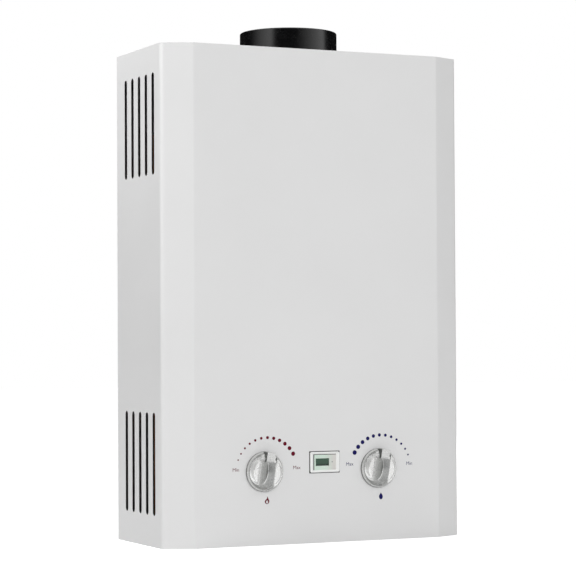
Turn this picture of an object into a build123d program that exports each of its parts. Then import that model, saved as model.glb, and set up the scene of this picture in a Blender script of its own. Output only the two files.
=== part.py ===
from build123d import *
from math import asin, atan2, cos, pi, sin, sqrt, tan
import os

# Wall-hung instantaneous gas water heater, all its pieces at real size, in millimetres.
# The origin is on the wall, at the bottom of the case and midway between its sides.
# +X points right as seen from the front, +Y into the wall and +Z up, so the front face looks along -Y.

# Case: a folded front cover that slips over a chassis of back, top and bottom plates
CASE_W = 294.0  # over the sides
CASE_D = 118.0  # from the wall to the front face
CASE_H = 440.0
BEVEL_W = 26.5  # bevel between side and front, measured across the front
BEVEL_D = 11.0  # the same bevel, measured along the side
SIDE_BEND_R = 5.0  # outer radius of the fold between side and bevel
FRONT_BEND_R = 2.5  # outer radius of the fold between bevel and front
COVER_SHEET = 1.0
COVER_LIP = 8.0  # folded edge at the top and bottom of the cover
CHASSIS_SHEET = 1.0
CHASSIS_FLANGE = 14.0
FIT = 0.3  # clearance round pieces that slip together
RUNNING = 0.05  # radial clearance round pieces that turn or slide

# Vent slots in both sides of the cover
VENT_COUNT = 5
VENT_PITCH = 16.5
VENT_W = 6.0
VENT_L = 90.0
VENT_END_CHORDS = 5
VENT_BACK = 55.5  # middle of a group, from the wall
VENT_MARGIN_TOP = 24.0
VENT_MARGIN_BOTTOM = 27.5

# Wall fixings
WALL_HOLE_R = 3.0
WALL_HOLES_X = 180.0
WALL_HOLES_Z = 18.0
KEYHOLE_R = 5.0
KEYHOLE_SLOT_R = 2.5
KEYHOLE_DROP = 8.0
KEYHOLE_MARGIN = 16.0
RIB_W = 14.0
RIB_H = 1.6
RIB_X = 62.0
RIB_MARGIN_TOP = 40.0
RIB_MARGIN_BOTTOM = 160.0
NOTCH = 8.0  # half width of the gaps in the plates' flanges round the wall holes

# Flue collar and draft hood
FLUE_R = 44.5
FLUE_RISE = 22.0  # above the case
FLUE_WALL = 1.2
FLUE_FLANGE = 48.0  # half width of its square flange
HOOD_SHEET = 0.8
HOOD_H = 57.0
HOOD_SKIRT = 12.0
HOOD_LAP = 6.0  # how far the skirt reaches down over the exchanger
HOOD_TOP_W = 110.0
DRAFT_SLOT_W = 120.0
DRAFT_SLOT_H = 10.0

# Heat exchanger and combustion chamber
HX_W = 190.0
HX_H = 50.0
HX_BACK = 11.0  # between the wall and the exchanger
HX_FRONT = 17.0  # between the exchanger and the front face
HX_SHEET = 0.8
TUBE_R = 7.5
TUBE_COUNT = 3
TUBE_EDGE = 12.0  # from the outer tubes to the edges of the end plates
TUBE_STUB = 6.0  # tube end that stands out of the shell
FIN_COUNT = 6
FIN_T = 0.6
FIN_MARGIN = 5.0  # between the fin pack and the top and bottom of the shell
COLLAR = 9.5  # half width of the fin collars round a tube
END_PLATE_MARGIN = 5.0  # end plates, inside the front and rear of the exchanger
CAP_WALL = 1.0
CAP_DEPTH = 9.0
CAP_EDGE = 2.0
HX_STRIP_W = 20.0  # brackets behind the exchanger
HX_STRIP_X = 88.0
CH_W = 184.0
CH_INSET = 5.0  # chamber, inside the front and rear of the exchanger
CH_BOTTOM = 212.0
CH_SHEET = 0.8
PIPE_R = 5.0
COIL_FROM = 0.4  # start of the coil up the chamber, as a share of its height
COIL_SHARE = 0.35  # rise of the coil, as a share of the same height
PIPE_CLEAR = 4.0  # between the pipe and the caps of the exchanger
PIPE_BACK = 6.0  # cold pipe, behind the push rod axis
PIPE_BEND_LOW = 42.0  # bends of the cold pipe, below the chamber
PIPE_BEND_HIGH = 16.0

# Burner
FRAME_H = 14.0
FRAME_SHEET = 1.2
FRAME_LAP = 6.0  # how far the frame reaches up into the chamber
FRAME_FOOT_W = 12.0
BLADE_COUNT = 5
BLADE_PITCH = 33.0
BLADE_W = 9.0
BLADE_WAIST = 4.0
BLADE_WALL = 1.0
BLADE_PROUD = 2.0  # blades above the frame
BLADE_H = 52.0
BLADE_TOP_H = 12.0
MIXER_R = 8.0
MIXER_DEPTH = 20.0
PORT_COUNT = 4
PORT_PITCH = 17.0
PORT_W = 5.0
PORT_DEPTH = 3.0
MANIFOLD_W = 12.0
MANIFOLD_GAP = 4.0  # between a jet and the mouth of its blade
MANIFOLD_END = 13.0  # rail beyond the outer blades
MANIFOLD_TAB_W = 6.0
MANIFOLD_TAB_T = 1.5
JET_R = 3.0
JET_L = 5.0
JET_TIP_R = 2.0
JET_BORE_R = 0.8
RISER_R = 6.0
RISER_STRAIGHT = 14.0  # at both ends

# Controls
CONTROL_Z = 65.0
FLAME_IN = 37.0  # spindle, from the left end of the gas valve
WATER_IN = 38.0  # spindle, from the right end of the water valve
KNOB_R = 17.7
KNOB_SKIRT = 4.0
KNOB_DEPTH = 17.0
KNOB_SHOULDER = 1.2  # skirt left bare round the dome
KNOB_TILT = 9.0  # pointer, clockwise from upright
KNOB_GAP = 0.6  # between knob and cover
RIDGE_W = 10.5
RIDGE_EDGE = 1.0
SCOOP_R = 14.0
SCOOP_FOOT = 0.5  # lowest line of a scoop, above the skirt
DOME_CHORDS = 8
SCOOP_CHORDS = 4
GRIP_SIDES = 16
POINTER_W = 8.5
POINTER_H = 8.0
POINTER_FROM = 9.8
SPINDLE_R = 4.0
SPINDLE_FLAT = 3.0  # from the axis to the flat
SPINDLE_REACH = 11.0  # into the knob
SPINDLE_HOLE_R = 6.5

# Display
DISPLAY_SHIFT = 2.8  # to the right of the middle between the knobs
DISPLAY_Z = 71.7
BEZEL_W = 30.0
BEZEL_H = 19.5
BEZEL_T = 1.8
BEZEL_CORNER = 0.9
BEZEL_BEVEL = 0.8
WINDOW_W = 22.6
WINDOW_H = 14.2
WINDOW_RECESS = 1.1
FACE_T = 1.0
GLASS_W = 13.3
GLASS_H = 6.6
GLASS_X = -2.3  # middle of the glass, from the middle of the display
GLASS_Z = 0.0
MODULE_D = 10.0
MODULE_WALL = 1.5

# Valves, in line behind the knobs
RISER_IN = 13.0  # riser, from the right end of the gas valve
VALVE_BACK = 56.0  # push rod axis, from the wall
VALVE_HALF = 20.0  # half height of both bodies
VALVE_EDGE = 2.5
GAS_SIDE = 55.0  # between the side of the case and the gas valve
GAS_FRONT = 22.0  # from the push rod axis forward
GAS_REAR = 20.0
BOSS = 14.0  # half width of the spindle bosses
BOSS_L = 14.0
SPINDLE_DEPTH = 26.0  # of the bore for the spindle in each boss
SOLENOID = 11.0  # half width of the coil
SOLENOID_L = 26.0
SOLENOID_LIP = 4.0
SOLENOID_LIP_T = 3.0
SOLENOID_EDGE = 2.0
ROD_NECK = 11.0
ROD_NECK_L = 6.0
ROD_R = 2.5
ROD_TRAVEL = 4.0
ROD_GAP = 18.0  # bare rod between the two valves
ROD_COLLAR = 5.8
ROD_COLLAR_T = 2.0
ROD_PLATE = 12.0
ROD_PLATE_T = 2.0
ROD_INTO_GAS = 40.0
ROD_SLACK = 2.0  # bore left beyond the rod at the end of its travel
DIAPHRAGM_R = 27.0
DIAPHRAGM_T = 2.0
DIAPHRAGM_CHAMBER_R = 21.0
DIAPHRAGM_COVER_T = 13.0
DIAPHRAGM_COVER_WALL = 2.5
DIAPHRAGM_COVER_EDGE = 5.0
ROD_GUIDE_L = 8.0  # neck of the diaphragm cover round the rod
ROD_GUIDE_R = 6.5
WATER_FLANGE_T = 8.0
WATER_L = 55.0
WATER_BOX_GAP = 3.7  # between the water valve and the battery box
INLET_BOSS = 11.0
VALVE_STRIP_W = 24.0  # brackets behind the valves
VALVE_STRIP_T = 1.5
VALVE_STRIP_RISE = 8.0  # their feet, above the wall holes
WATER_STRIP_SHIFT = 10.0

# Connectors with G 1/2 threads
THREAD_R = 10.48
THREAD_L = 13.5
THREAD_CLEAR = 0.5  # thread end, above the bottom of the case
SOCKET_AF = 12.0
HEX_AF = 24.0
HEX_T = 8.0
FITTING_HOLE_R = 16.0
GAS_PORT_IN = 16.0  # gas inlet, from the right end of the gas valve
COLD_PORT_IN = 21.0  # cold inlet, from the right end of the water valve
HOT_SIDE = 29.0  # between the side of the case and the hot outlet
DRAIN_PITCH = 25.0  # from the cold inlet
DRAIN_R = 6.0
DRAIN_L = 16.0
DRAIN_TOP = 36.0
DRAIN_HEAD = 7.0
DRAIN_HEAD_T = 5.0
DRAIN_WALL = 2.0
DRAIN_HOLE = 10.0

# Battery box with two D cells in line
CELL_R = 17.1
CELL_L = 60.0
CELL_TIP = 4.5
CELL_TIP_H = 1.5
CELL_PLAY = 0.4
BOX_WALL = 2.0
BOX_BACK = 22.0
BOX_LIP = 4.0
DOOR_T = 1.8
HINGE_R = 1.8
HINGE_PIN_R = 1.0
CONTACT_T = 0.6
CONTACT_W = 16.0
CONTACT_TONGUE = 8.0

# Electrical pieces
IGNITER_W = 74.0
IGNITER_D = 24.0
IGNITER_H = 42.0
IGNITER_X = -38.0
IGNITER_Z = 102.0
IGNITER_EDGE = 3.0
IGNITER_SOCKET = 10.0
IGNITER_SOCKET_H = 4.0
IGNITER_SOCKET_X = 20.0  # from the middle of the box
SWITCH_W = 6.4
SWITCH_L = 20.0
SWITCH_H = 10.0
SWITCH_EAR = 2.0
SWITCH_STRIP_W = 12.0
SWITCH_STRIP_T = 1.2
SWITCH_STRIP_FOOT = 6.0
LEVER_T = 0.5
LEVER_W = 5.0
LEVER_PIVOT_R = 0.9
LEVER_PIVOT_Z = 18.0  # above the push rod axis
LEVER_TIP_GAP = 1.0  # between the tip and the rod
ELECTRODE_R = 3.0
ELECTRODE_WIRE = 1.6
ELECTRODE_L = 26.0
ELECTRODE_OUT = 16.0  # ceramic outside the chamber
ELECTRODE_X = 40.0
ELECTRODE_RISE = 8.0  # above the blades
ELECTRODE_TAIL = 3.0  # wire in front of the ceramic
ELECTRODE_TIP = 12.0  # wire behind it
ELECTRODE_STRIP_EDGE = 7.0  # bracket beyond the ceramics
ELECTRODE_STRIP_T = 1.2
THERMOSTAT_R = 8.0
THERMOSTAT_T = 7.0
THERMOSTAT_FLANGE_W = 26.0
THERMOSTAT_FLANGE_H = 10.0
TAB_PITCH = 7.0
TAB_W = 6.0
TAB_T = 0.8
TAB_L = 5.0

# Levels that follow from the sizes above
FLOOR = COVER_SHEET + CHASSIS_SHEET  # upper face of the bottom plate
CEILING = CASE_H - COVER_SHEET - CHASSIS_SHEET  # lower face of the top plate
PANEL_X = CASE_W / 2 - COVER_SHEET - FIT  # half width of the back plate
HOOD_TOP = CEILING
HOOD_BOTTOM = HOOD_TOP - HOOD_H
HX_TOP = HOOD_BOTTOM + HOOD_LAP
HX_BOTTOM = HX_TOP - HX_H
CH_H = HX_BOTTOM - CH_BOTTOM
HX_D = CASE_D - HX_BACK - HX_FRONT
FLUE_BACK = HX_BACK + HX_D / 2  # flue axis, from the wall
END_PLATE_W = HX_D - 2 * END_PLATE_MARGIN
TUBE_PITCH = (END_PLATE_W - 2 * TUBE_EDGE) / (TUBE_COUNT - 1)
CH_D = HX_D - 2 * CH_INSET
TUBE_Z = HX_BOTTOM + HX_H / 2
FRAME_TOP = CH_BOTTOM + FRAME_LAP
BURNER_D = CH_D - 2 * (CH_SHEET + FIT)  # outer depth of the burner frame
BURNER_FRONT = -FLUE_BACK - BURNER_D / 2
BLADE_L = BURNER_D - 2 * FRAME_SHEET
BLADE_TOP = FRAME_TOP + BLADE_PROUD
ELECTRODE_Z = BLADE_TOP + ELECTRODE_RISE
MIXER_Z = BLADE_TOP - BLADE_H + MIXER_R
JET_TIP = BURNER_FRONT + FRAME_SHEET - MANIFOLD_GAP
MANIFOLD_REAR = JET_TIP - JET_L
CELL_ROOM = CELL_R + CELL_PLAY  # half width inside the battery box
BOX_X = CASE_W / 2 - COVER_LIP - FIT - BOX_WALL - CELL_ROOM
WATER_RIGHT = BOX_X - CELL_ROOM - BOX_WALL - WATER_BOX_GAP
WATER_LEFT = WATER_RIGHT - WATER_L - WATER_FLANGE_T
DIAPHRAGM_X = WATER_LEFT - DIAPHRAGM_T
ROD_RIGHT = DIAPHRAGM_X - DIAPHRAGM_COVER_T - ROD_GUIDE_L  # right end of the bare rod
ROD_LEFT = ROD_RIGHT - ROD_GAP
COLLAR_X = (ROD_LEFT + ROD_RIGHT + ROD_TRAVEL) / 2  # left face of the rod's collar
GAS_RIGHT = ROD_LEFT - ROD_NECK_L
GAS_LEFT = -CASE_W / 2 + GAS_SIDE
FLAME_X = GAS_LEFT + FLAME_IN
WATER_X = WATER_RIGHT - WATER_IN
DISPLAY_X = (FLAME_X + WATER_X) / 2 + DISPLAY_SHIFT
GAS_RISER_X = GAS_RIGHT - RISER_IN
GAS_INLET_X = GAS_RIGHT - GAS_PORT_IN
COLD_INLET_X = WATER_RIGHT - COLD_PORT_IN
DRAIN_X = COLD_INLET_X - DRAIN_PITCH
HOT_X = -CASE_W / 2 + HOT_SIDE
FITTING_TOP = THREAD_CLEAR + THREAD_L + HEX_T
HOT_BACK = FLUE_BACK - TUBE_PITCH * (TUBE_COUNT - 1) / 2  # rear tube and hot outlet, from the wall
FITTINGS = [(GAS_INLET_X, -VALVE_BACK), (COLD_INLET_X, -VALVE_BACK), (HOT_X, -HOT_BACK)]
BOSS_FRONT = VALVE_BACK + GAS_FRONT + BOSS_L  # from the wall to the face of the bosses
KNOB_BACK = -CASE_D - KNOB_GAP
BOX_Y = -BOX_BACK - BOX_WALL - CELL_ROOM
DOOR_TOP = COVER_SHEET + DOOR_T
HINGE_Y = BOX_Y + CELL_ROOM - FIT - HINGE_R
HINGE_Z = COVER_SHEET + HINGE_R
CELLS_BOTTOM = HINGE_Z + HINGE_R + 2 * FIT
CELLS_TOP = CELLS_BOTTOM + 2 * (CELL_L + CELL_TIP_H)
FACE_FRONT = -CASE_D - BEZEL_T + WINDOW_RECESS
LEVER_X = COLLAR_X - FIT - LEVER_T / 2
LEVER_Z = CONTROL_Z + LEVER_PIVOT_Z


def block(x0, x1, y0, y1, z0, z1):
    """Box between two opposite corners."""
    middle = Pos((x0 + x1) / 2, (y0 + y1) / 2, (z0 + z1) / 2)
    return middle * Box(abs(x1 - x0), abs(y1 - y0), abs(z1 - z0))


def bar(radius, start, direction, length):
    """Round bar that starts at a point and runs along a direction."""
    return Solid.make_cylinder(radius, length, Plane(origin=start, z_dir=direction))


def lift(face, z0, z1):
    """Flat plan outline raised into a solid between two levels."""
    return Pos(0, 0, z0) * extrude(face, amount=z1 - z0, dir=(0, 0, 1))


def front_plane(x, y, z):
    """Plane that looks out of the front: its x is +X and its y is +Z."""
    return Plane(origin=(x, y, z), x_dir=(1, 0, 0), z_dir=(0, -1, 0))


def octagon(radius):
    """Eight-sided outline, its size measured to the flats."""
    return Rot(0, 0, 22.5) * RegularPolygon(radius, 8, major_radius=False)


def pipe(points, radius):
    """Pipe along straight runs with mitred corners."""
    path = Polyline(*points)
    start = Plane(origin=path @ 0, z_dir=path % 0)
    return sweep(start * Circle(radius), path=path, transition=Transition.RIGHT)


# ---------------------------------------------------------------- case


def case_outline(inset, rear=0.0):
    """Plan outline of the case, moved inwards by an inset, with its folds rounded."""
    side_turn = atan2(BEVEL_W, BEVEL_D)
    front_turn = pi / 2 - side_turn
    side_x = CASE_W / 2 - inset
    front_y = -CASE_D + inset
    side_y = -CASE_D + BEVEL_D + inset * tan(side_turn / 2)
    front_x = CASE_W / 2 - BEVEL_W - inset * tan(front_turn / 2)
    corners = [
        (side_x, rear),
        (side_x, side_y),
        (front_x, front_y),
        (-front_x, front_y),
        (-side_x, side_y),
        (-side_x, rear),
    ]
    side_r = max(SIDE_BEND_R - inset, 0)
    front_r = max(FRONT_BEND_R - inset, 0)
    radii = [0, side_r, front_r, front_r, side_r, 0]
    return make_face(FilletPolyline(*corners, radius=radii, close=True))


def vent_outline():
    """Slot with rounded ends, drawn lengthwise."""
    half = VENT_W / 2
    reach = VENT_L / 2 - half
    turns = [pi * i / VENT_END_CHORDS - pi / 2 for i in range(VENT_END_CHORDS + 1)]
    right = [(reach + half * cos(a), half * sin(a)) for a in turns]
    left = [(-u, -v) for u, v in right]
    return make_face(Polyline(*right, *left, close=True))


def vent_slots(side):
    """Cutters for the two groups of upright slots in one side of the cover."""
    levels = [CASE_H - VENT_MARGIN_TOP - VENT_L / 2, VENT_MARGIN_BOTTOM + VENT_L / 2]
    slots = []
    for z in levels:
        for i in range(VENT_COUNT):
            y = -VENT_BACK + (i - (VENT_COUNT - 1) / 2) * VENT_PITCH
            at = Plane(origin=(side * CASE_W / 2, y, z), x_dir=(0, 0, 1), z_dir=(side, 0, 0))
            slots.append(extrude(at * vent_outline(), amount=2 * COVER_SHEET, both=True))
    return slots


def front_cover():
    """Sides, bevels and front folded from one sheet, open at the back, with lips at top and bottom."""
    cover = lift(case_outline(0), 0, CASE_H) - lift(case_outline(COVER_SHEET), 0, CASE_H)
    rear = -CHASSIS_SHEET - FIT
    lip = case_outline(COVER_SHEET, rear) - case_outline(COVER_LIP, rear)
    for z in (0, CASE_H - COVER_SHEET):
        cover += lift(lip, z, z + COVER_SHEET)
    for side in (-1, 1):
        cover -= vent_slots(side)
    for x in (FLAME_X, WATER_X):
        cover -= bar(SPINDLE_HOLE_R, (x, -CASE_D - 1, CONTROL_Z), (0, 1, 0), COVER_SHEET + 2)
    hole = front_plane(DISPLAY_X, -CASE_D - 1, DISPLAY_Z) * display_opening(MODULE_WALL + FIT)
    return cover - extrude(hole, amount=COVER_SHEET + 2, dir=(0, 1, 0))


def back_plate():
    """Panel against the wall with side flanges, two hollow ribs, a keyhole and two wall holes."""
    plate = block(-PANEL_X, PANEL_X, -CHASSIS_SHEET, 0, 0, CASE_H)
    for side in (-1, 1):
        edge = side * PANEL_X
        plate += block(edge, edge - side * CHASSIS_SHEET, -CHASSIS_FLANGE, -CHASSIS_SHEET, FLOOR, CEILING)
        x0 = side * RIB_X - RIB_W / 2
        x1 = side * RIB_X + RIB_W / 2
        top = CASE_H - RIB_MARGIN_TOP
        wall = CHASSIS_SHEET
        plate += block(x0, x1, -CHASSIS_SHEET - RIB_H, -CHASSIS_SHEET, RIB_MARGIN_BOTTOM, top)
        plate -= block(x0 + wall, x1 - wall, -RIB_H, 0, RIB_MARGIN_BOTTOM + wall, top - wall)
        plate -= bar(WALL_HOLE_R, (side * WALL_HOLES_X / 2, 1, WALL_HOLES_Z), (0, -1, 0), CHASSIS_SHEET + 2)
    slot_top = CASE_H - KEYHOLE_MARGIN
    plate -= bar(KEYHOLE_R, (0, 1, slot_top - KEYHOLE_DROP), (0, -1, 0), CHASSIS_SHEET + 2)
    plate -= bar(KEYHOLE_SLOT_R, (0, 1, slot_top), (0, -1, 0), CHASSIS_SHEET + 2)
    plate -= block(-KEYHOLE_SLOT_R, KEYHOLE_SLOT_R, 1, -CHASSIS_SHEET - 1, slot_top - KEYHOLE_DROP, slot_top)
    return plate


def end_plate(z0, flange_z0, flange_z1):
    """Plate that closes one end of the case, with a flange against the back plate."""
    plate = lift(case_outline(COVER_SHEET + FIT, -CHASSIS_SHEET), z0, z0 + CHASSIS_SHEET)
    flange_x = PANEL_X - CHASSIS_FLANGE
    return plate + block(-flange_x, flange_x, -2 * CHASSIS_SHEET, -CHASSIS_SHEET, flange_z0, flange_z1)


def top_plate():
    """End plate at the top with the round opening for the flue collar."""
    plate = end_plate(CEILING, CEILING - CHASSIS_FLANGE, CEILING)
    plate -= block(-NOTCH, NOTCH, -3, -CHASSIS_SHEET, CEILING - CHASSIS_FLANGE - 1, CEILING)
    return plate - bar(FLUE_R - FLUE_WALL, (0, -FLUE_BACK, CEILING - 1), (0, 0, 1), CHASSIS_SHEET + 2)


def bottom_plate():
    """End plate at the bottom with openings for three fittings, the drain plug and the battery box."""
    plate = end_plate(COVER_SHEET, FLOOR, FLOOR + CHASSIS_FLANGE)
    for side in (-1, 1):
        x = side * WALL_HOLES_X / 2
        plate -= block(x - NOTCH, x + NOTCH, -3, -CHASSIS_SHEET, FLOOR, FLOOR + CHASSIS_FLANGE + 1)
    for x, y in FITTINGS:
        plate -= bar(FITTING_HOLE_R, (x, y, 0), (0, 0, 1), FLOOR + 1)
    half = DRAIN_HOLE
    plate -= block(DRAIN_X - half, DRAIN_X + half, -VALVE_BACK - half, -VALVE_BACK + half, 0, FLOOR + 1)
    half = CELL_ROOM + BOX_WALL + FIT
    return plate - block(BOX_X - half, BOX_X + half, BOX_Y - half, BOX_Y + half, 0, FLOOR + 1)


# ---------------------------------------------------------------- flue


def flue_collar():
    """Spigot for the flue duct: a square flange on the top plate and a round wall."""
    half = FLUE_FLANGE
    z0 = CEILING + CHASSIS_SHEET
    collar = block(-half, half, -FLUE_BACK - half, -FLUE_BACK + half, z0, z0 + FLUE_WALL)
    collar += bar(FLUE_R, (0, -FLUE_BACK, z0), (0, 0, 1), CASE_H + FLUE_RISE - z0)
    return collar - bar(FLUE_R - FLUE_WALL, (0, -FLUE_BACK, 0), (0, 0, 1), 2 * CASE_H)


def hood_outline(grow, z0, z1):
    """Front view of the draft hood: an upright skirt, then sides that slope in to the collar."""
    foot = HX_W / 2 + FIT + grow
    head = HOOD_TOP_W / 2 + grow
    return Plane.XZ * make_face(
        Polyline((-foot, z0), (foot, z0), (foot, z0 + HOOD_SKIRT), (head, z1), (-head, z1),
                 (-foot, z0 + HOOD_SKIRT), close=True)
    )


def draft_hood():
    """Gathers the flue gas over the exchanger and leads it into the collar, with a relief slot behind."""
    depth = HX_D + 2 * FIT
    middle = Pos(0, -FLUE_BACK, 0)
    outer = extrude(hood_outline(HOOD_SHEET, HOOD_BOTTOM, HOOD_TOP), amount=depth / 2 + HOOD_SHEET, both=True)
    hollow = extrude(hood_outline(0, HOOD_BOTTOM, HOOD_TOP - HOOD_SHEET), amount=depth / 2, both=True)
    hood = middle * outer - middle * hollow
    hood -= bar(FLUE_R - FLUE_WALL, (0, -FLUE_BACK, HOOD_TOP - 2), (0, 0, 1), 4)
    slot_z = HOOD_BOTTOM + HOOD_LAP + HOOD_SKIRT
    return hood - block(-DRAFT_SLOT_W / 2, DRAFT_SLOT_W / 2, -FLUE_BACK, 0, slot_z, slot_z + DRAFT_SLOT_H)


# ---------------------------------------------------------------- heat exchanger


def tube_rows():
    """Distance from the wall of each tube in the exchanger, front one first."""
    return [-FLUE_BACK + (i - (TUBE_COUNT - 1) / 2) * TUBE_PITCH for i in range(TUBE_COUNT)]


def exchanger_shell():
    """Copper sheet wrapped round the fin pack, open above and below, with a window at each end."""
    shell = block(-HX_W / 2, HX_W / 2, -FLUE_BACK - HX_D / 2, -FLUE_BACK + HX_D / 2, HX_BOTTOM, HX_TOP)
    in_x = HX_W / 2 - HX_SHEET
    in_y = HX_D / 2 - HX_SHEET
    shell -= block(-in_x, in_x, -FLUE_BACK - in_y, -FLUE_BACK + in_y, HX_BOTTOM - 1, HX_TOP + 1)
    y0 = -FLUE_BACK - END_PLATE_W / 2
    y1 = -FLUE_BACK + END_PLATE_W / 2
    return shell - block(-HX_W, HX_W, y0, y1, TUBE_Z - COLLAR, TUBE_Z + COLLAR)


def exchanger_fins():
    """Fin pack: thin fins, the collars drawn out of them round each tube, and an end plate in each window."""
    z0 = HX_BOTTOM + FIN_MARGIN
    z1 = HX_TOP - FIN_MARGIN
    half_x = HX_W / 2 - HX_SHEET - FIT
    half_y = HX_D / 2 - HX_SHEET - FIT
    y0 = -FLUE_BACK - END_PLATE_W / 2
    y1 = -FLUE_BACK + END_PLATE_W / 2
    sleeve = block(-half_x, half_x, y0 + FIT, y1 - FIT, TUBE_Z - COLLAR + FIT, TUBE_Z + COLLAR - FIT)
    for y in tube_rows()[:-1]:
        gap = (y + COLLAR, y + TUBE_PITCH - COLLAR)
        sleeve -= block(-half_x, half_x, gap[0], gap[1], TUBE_Z - COLLAR, TUBE_Z + COLLAR)
    pitch = (2 * half_x - FIN_T) / (FIN_COUNT - 1)
    fins = []
    for i in range(FIN_COUNT):
        x = -half_x + i * pitch
        fins.append(block(x, x + FIN_T, -FLUE_BACK - half_y, -FLUE_BACK + half_y, z0, z1))
    for side in (-1, 1):
        fins.append(block(side * half_x, side * HX_W / 2, y0, y1, TUBE_Z - COLLAR, TUBE_Z + COLLAR))
    pack = sleeve + fins
    for y in tube_rows():
        pack -= bar(TUBE_R + RUNNING, (-HX_W, y, TUBE_Z), (1, 0, 0), 2 * HX_W)
    return pack


def exchanger_tubes():
    """Straight tubes through the fin pack."""
    half = HX_W / 2 + TUBE_STUB
    return Compound(children=[bar(TUBE_R, (-half, y, TUBE_Z), (1, 0, 0), 2 * half) for y in tube_rows()])


def return_cap(side, y):
    """Pressed bowl over the ends of two neighbouring tubes, open towards the end plate."""
    at = Plane(origin=(side * HX_W / 2, y, TUBE_Z), x_dir=(0, 1, 0), z_dir=(side, 0, 0))
    room_w = TUBE_PITCH + 2 * (TUBE_R + RUNNING)
    room_h = 2 * (TUBE_R + RUNNING)
    outer = extrude(at * Rectangle(room_w + 2 * CAP_WALL, room_h + 2 * CAP_WALL), amount=CAP_DEPTH)
    outer = chamfer(outer.edges().filter_by(Axis.X), CAP_EDGE)
    return outer - extrude(at * Rectangle(room_w, room_h), amount=CAP_DEPTH - CAP_WALL)


def return_caps():
    """Caps that join the tubes into one path, alternately left and right."""
    rows = tube_rows()
    caps = []
    for i in range(TUBE_COUNT - 1):
        side = -1 if i % 2 == 0 else 1
        caps.append(return_cap(side, (rows[i] + rows[i + 1]) / 2))
    return Compound(children=caps)


def exchanger_brackets():
    """Two Z-shaped strips between the back plate and the rear of the exchanger."""
    rear = -FLUE_BACK + HX_D / 2
    strips = []
    for side in (-1, 1):
        x0 = side * HX_STRIP_X - HX_STRIP_W / 2
        x1 = x0 + HX_STRIP_W
        strip = block(x0, x1, -2 * CHASSIS_SHEET, -CHASSIS_SHEET, HX_BOTTOM, TUBE_Z)
        strip += block(x0, x1, rear, -CHASSIS_SHEET, TUBE_Z - CHASSIS_SHEET, TUBE_Z)
        strip += block(x0, x1, rear, rear + CHASSIS_SHEET, TUBE_Z - CHASSIS_SHEET, HX_TOP - HOOD_LAP - FIT)
        strips.append(strip)
    return Compound(children=strips)


def combustion_chamber():
    """Copper sleeve over the burner, with a rim at the top that carries the exchanger."""
    y0 = -FLUE_BACK - CH_D / 2
    y1 = -FLUE_BACK + CH_D / 2
    chamber = block(-CH_W / 2, CH_W / 2, y0, y1, CH_BOTTOM, HX_BOTTOM)
    chamber += block(
        -HX_W / 2, HX_W / 2, -FLUE_BACK - HX_D / 2, -FLUE_BACK + HX_D / 2, HX_BOTTOM - CH_SHEET, HX_BOTTOM
    )
    in_x = CH_W / 2 - CH_SHEET
    chamber -= block(-in_x, in_x, y0 + CH_SHEET, y1 - CH_SHEET, CH_BOTTOM - 1, HX_BOTTOM + 1)
    half = ELECTRODE_R + RUNNING
    for x in (-ELECTRODE_X, ELECTRODE_X):
        chamber -= block(x - half, x + half, y0 - 1, y0 + 2, ELECTRODE_Z - half, ELECTRODE_Z + half)
    return chamber


def cold_pipe():
    """From the water valve up the right side, once round the chamber, and into the front tube."""
    ring_x = CH_W / 2 + PIPE_R + FIT
    front = -FLUE_BACK - CH_D / 2 - PIPE_R - FIT
    rear = -FLUE_BACK + CH_D / 2 + PIPE_R + FIT
    start_z = CH_BOTTOM + COIL_FROM * CH_H
    rise = COIL_SHARE * CH_H
    quarter = rise / 4
    tube_y = tube_rows()[0]
    out_x = HX_W / 2 + CAP_DEPTH + PIPE_CLEAR + PIPE_R
    valve_x = WATER_RIGHT - INLET_BOSS
    valve_y = -VALVE_BACK + PIPE_BACK
    points = [
        (valve_x, valve_y, CONTROL_Z + VALVE_HALF),
        (valve_x, valve_y, CH_BOTTOM - PIPE_BEND_LOW),
        (ring_x, valve_y, CH_BOTTOM - PIPE_BEND_HIGH),
        (ring_x, valve_y, start_z),
        (ring_x, front, start_z + quarter / 2),
        (-ring_x, front, start_z + 1.5 * quarter),
        (-ring_x, rear, start_z + 2.5 * quarter),
        (ring_x, rear, start_z + 3.5 * quarter),
        (out_x, tube_y, start_z + rise),
        (out_x, tube_y, TUBE_Z),
        (HX_W / 2 + TUBE_STUB, tube_y, TUBE_Z),
    ]
    return pipe(points, PIPE_R)


def hot_pipe():
    """From the rear tube down the left side to the hot outlet."""
    points = [
        (-HX_W / 2 - TUBE_STUB, -HOT_BACK, TUBE_Z),
        (HOT_X, -HOT_BACK, TUBE_Z),
        (HOT_X, -HOT_BACK, FITTING_TOP),
    ]
    return pipe(points, PIPE_R)


# ---------------------------------------------------------------- burner


def burner_frame():
    """Sheet ring inside the foot of the chamber that holds the blades, with feet to the back plate."""
    half_x = CH_W / 2 - CH_SHEET - FIT
    z0 = FRAME_TOP - FRAME_H
    y0 = BURNER_FRONT
    y1 = BURNER_FRONT + BURNER_D
    frame = block(-half_x, half_x, y0, y1, z0, FRAME_TOP)
    frame -= block(
        -half_x + FRAME_SHEET, half_x - FRAME_SHEET, y0 + FRAME_SHEET, y1 - FRAME_SHEET, z0 - 1, FRAME_TOP + 1
    )
    for side in (-1, 1):
        x0 = side * RIB_X - FRAME_FOOT_W / 2
        x1 = x0 + FRAME_FOOT_W
        foot = block(x0, x1, y1, -CHASSIS_SHEET - RIB_H, z0, z0 + FRAME_SHEET)
        frame += foot
    return frame


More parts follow.
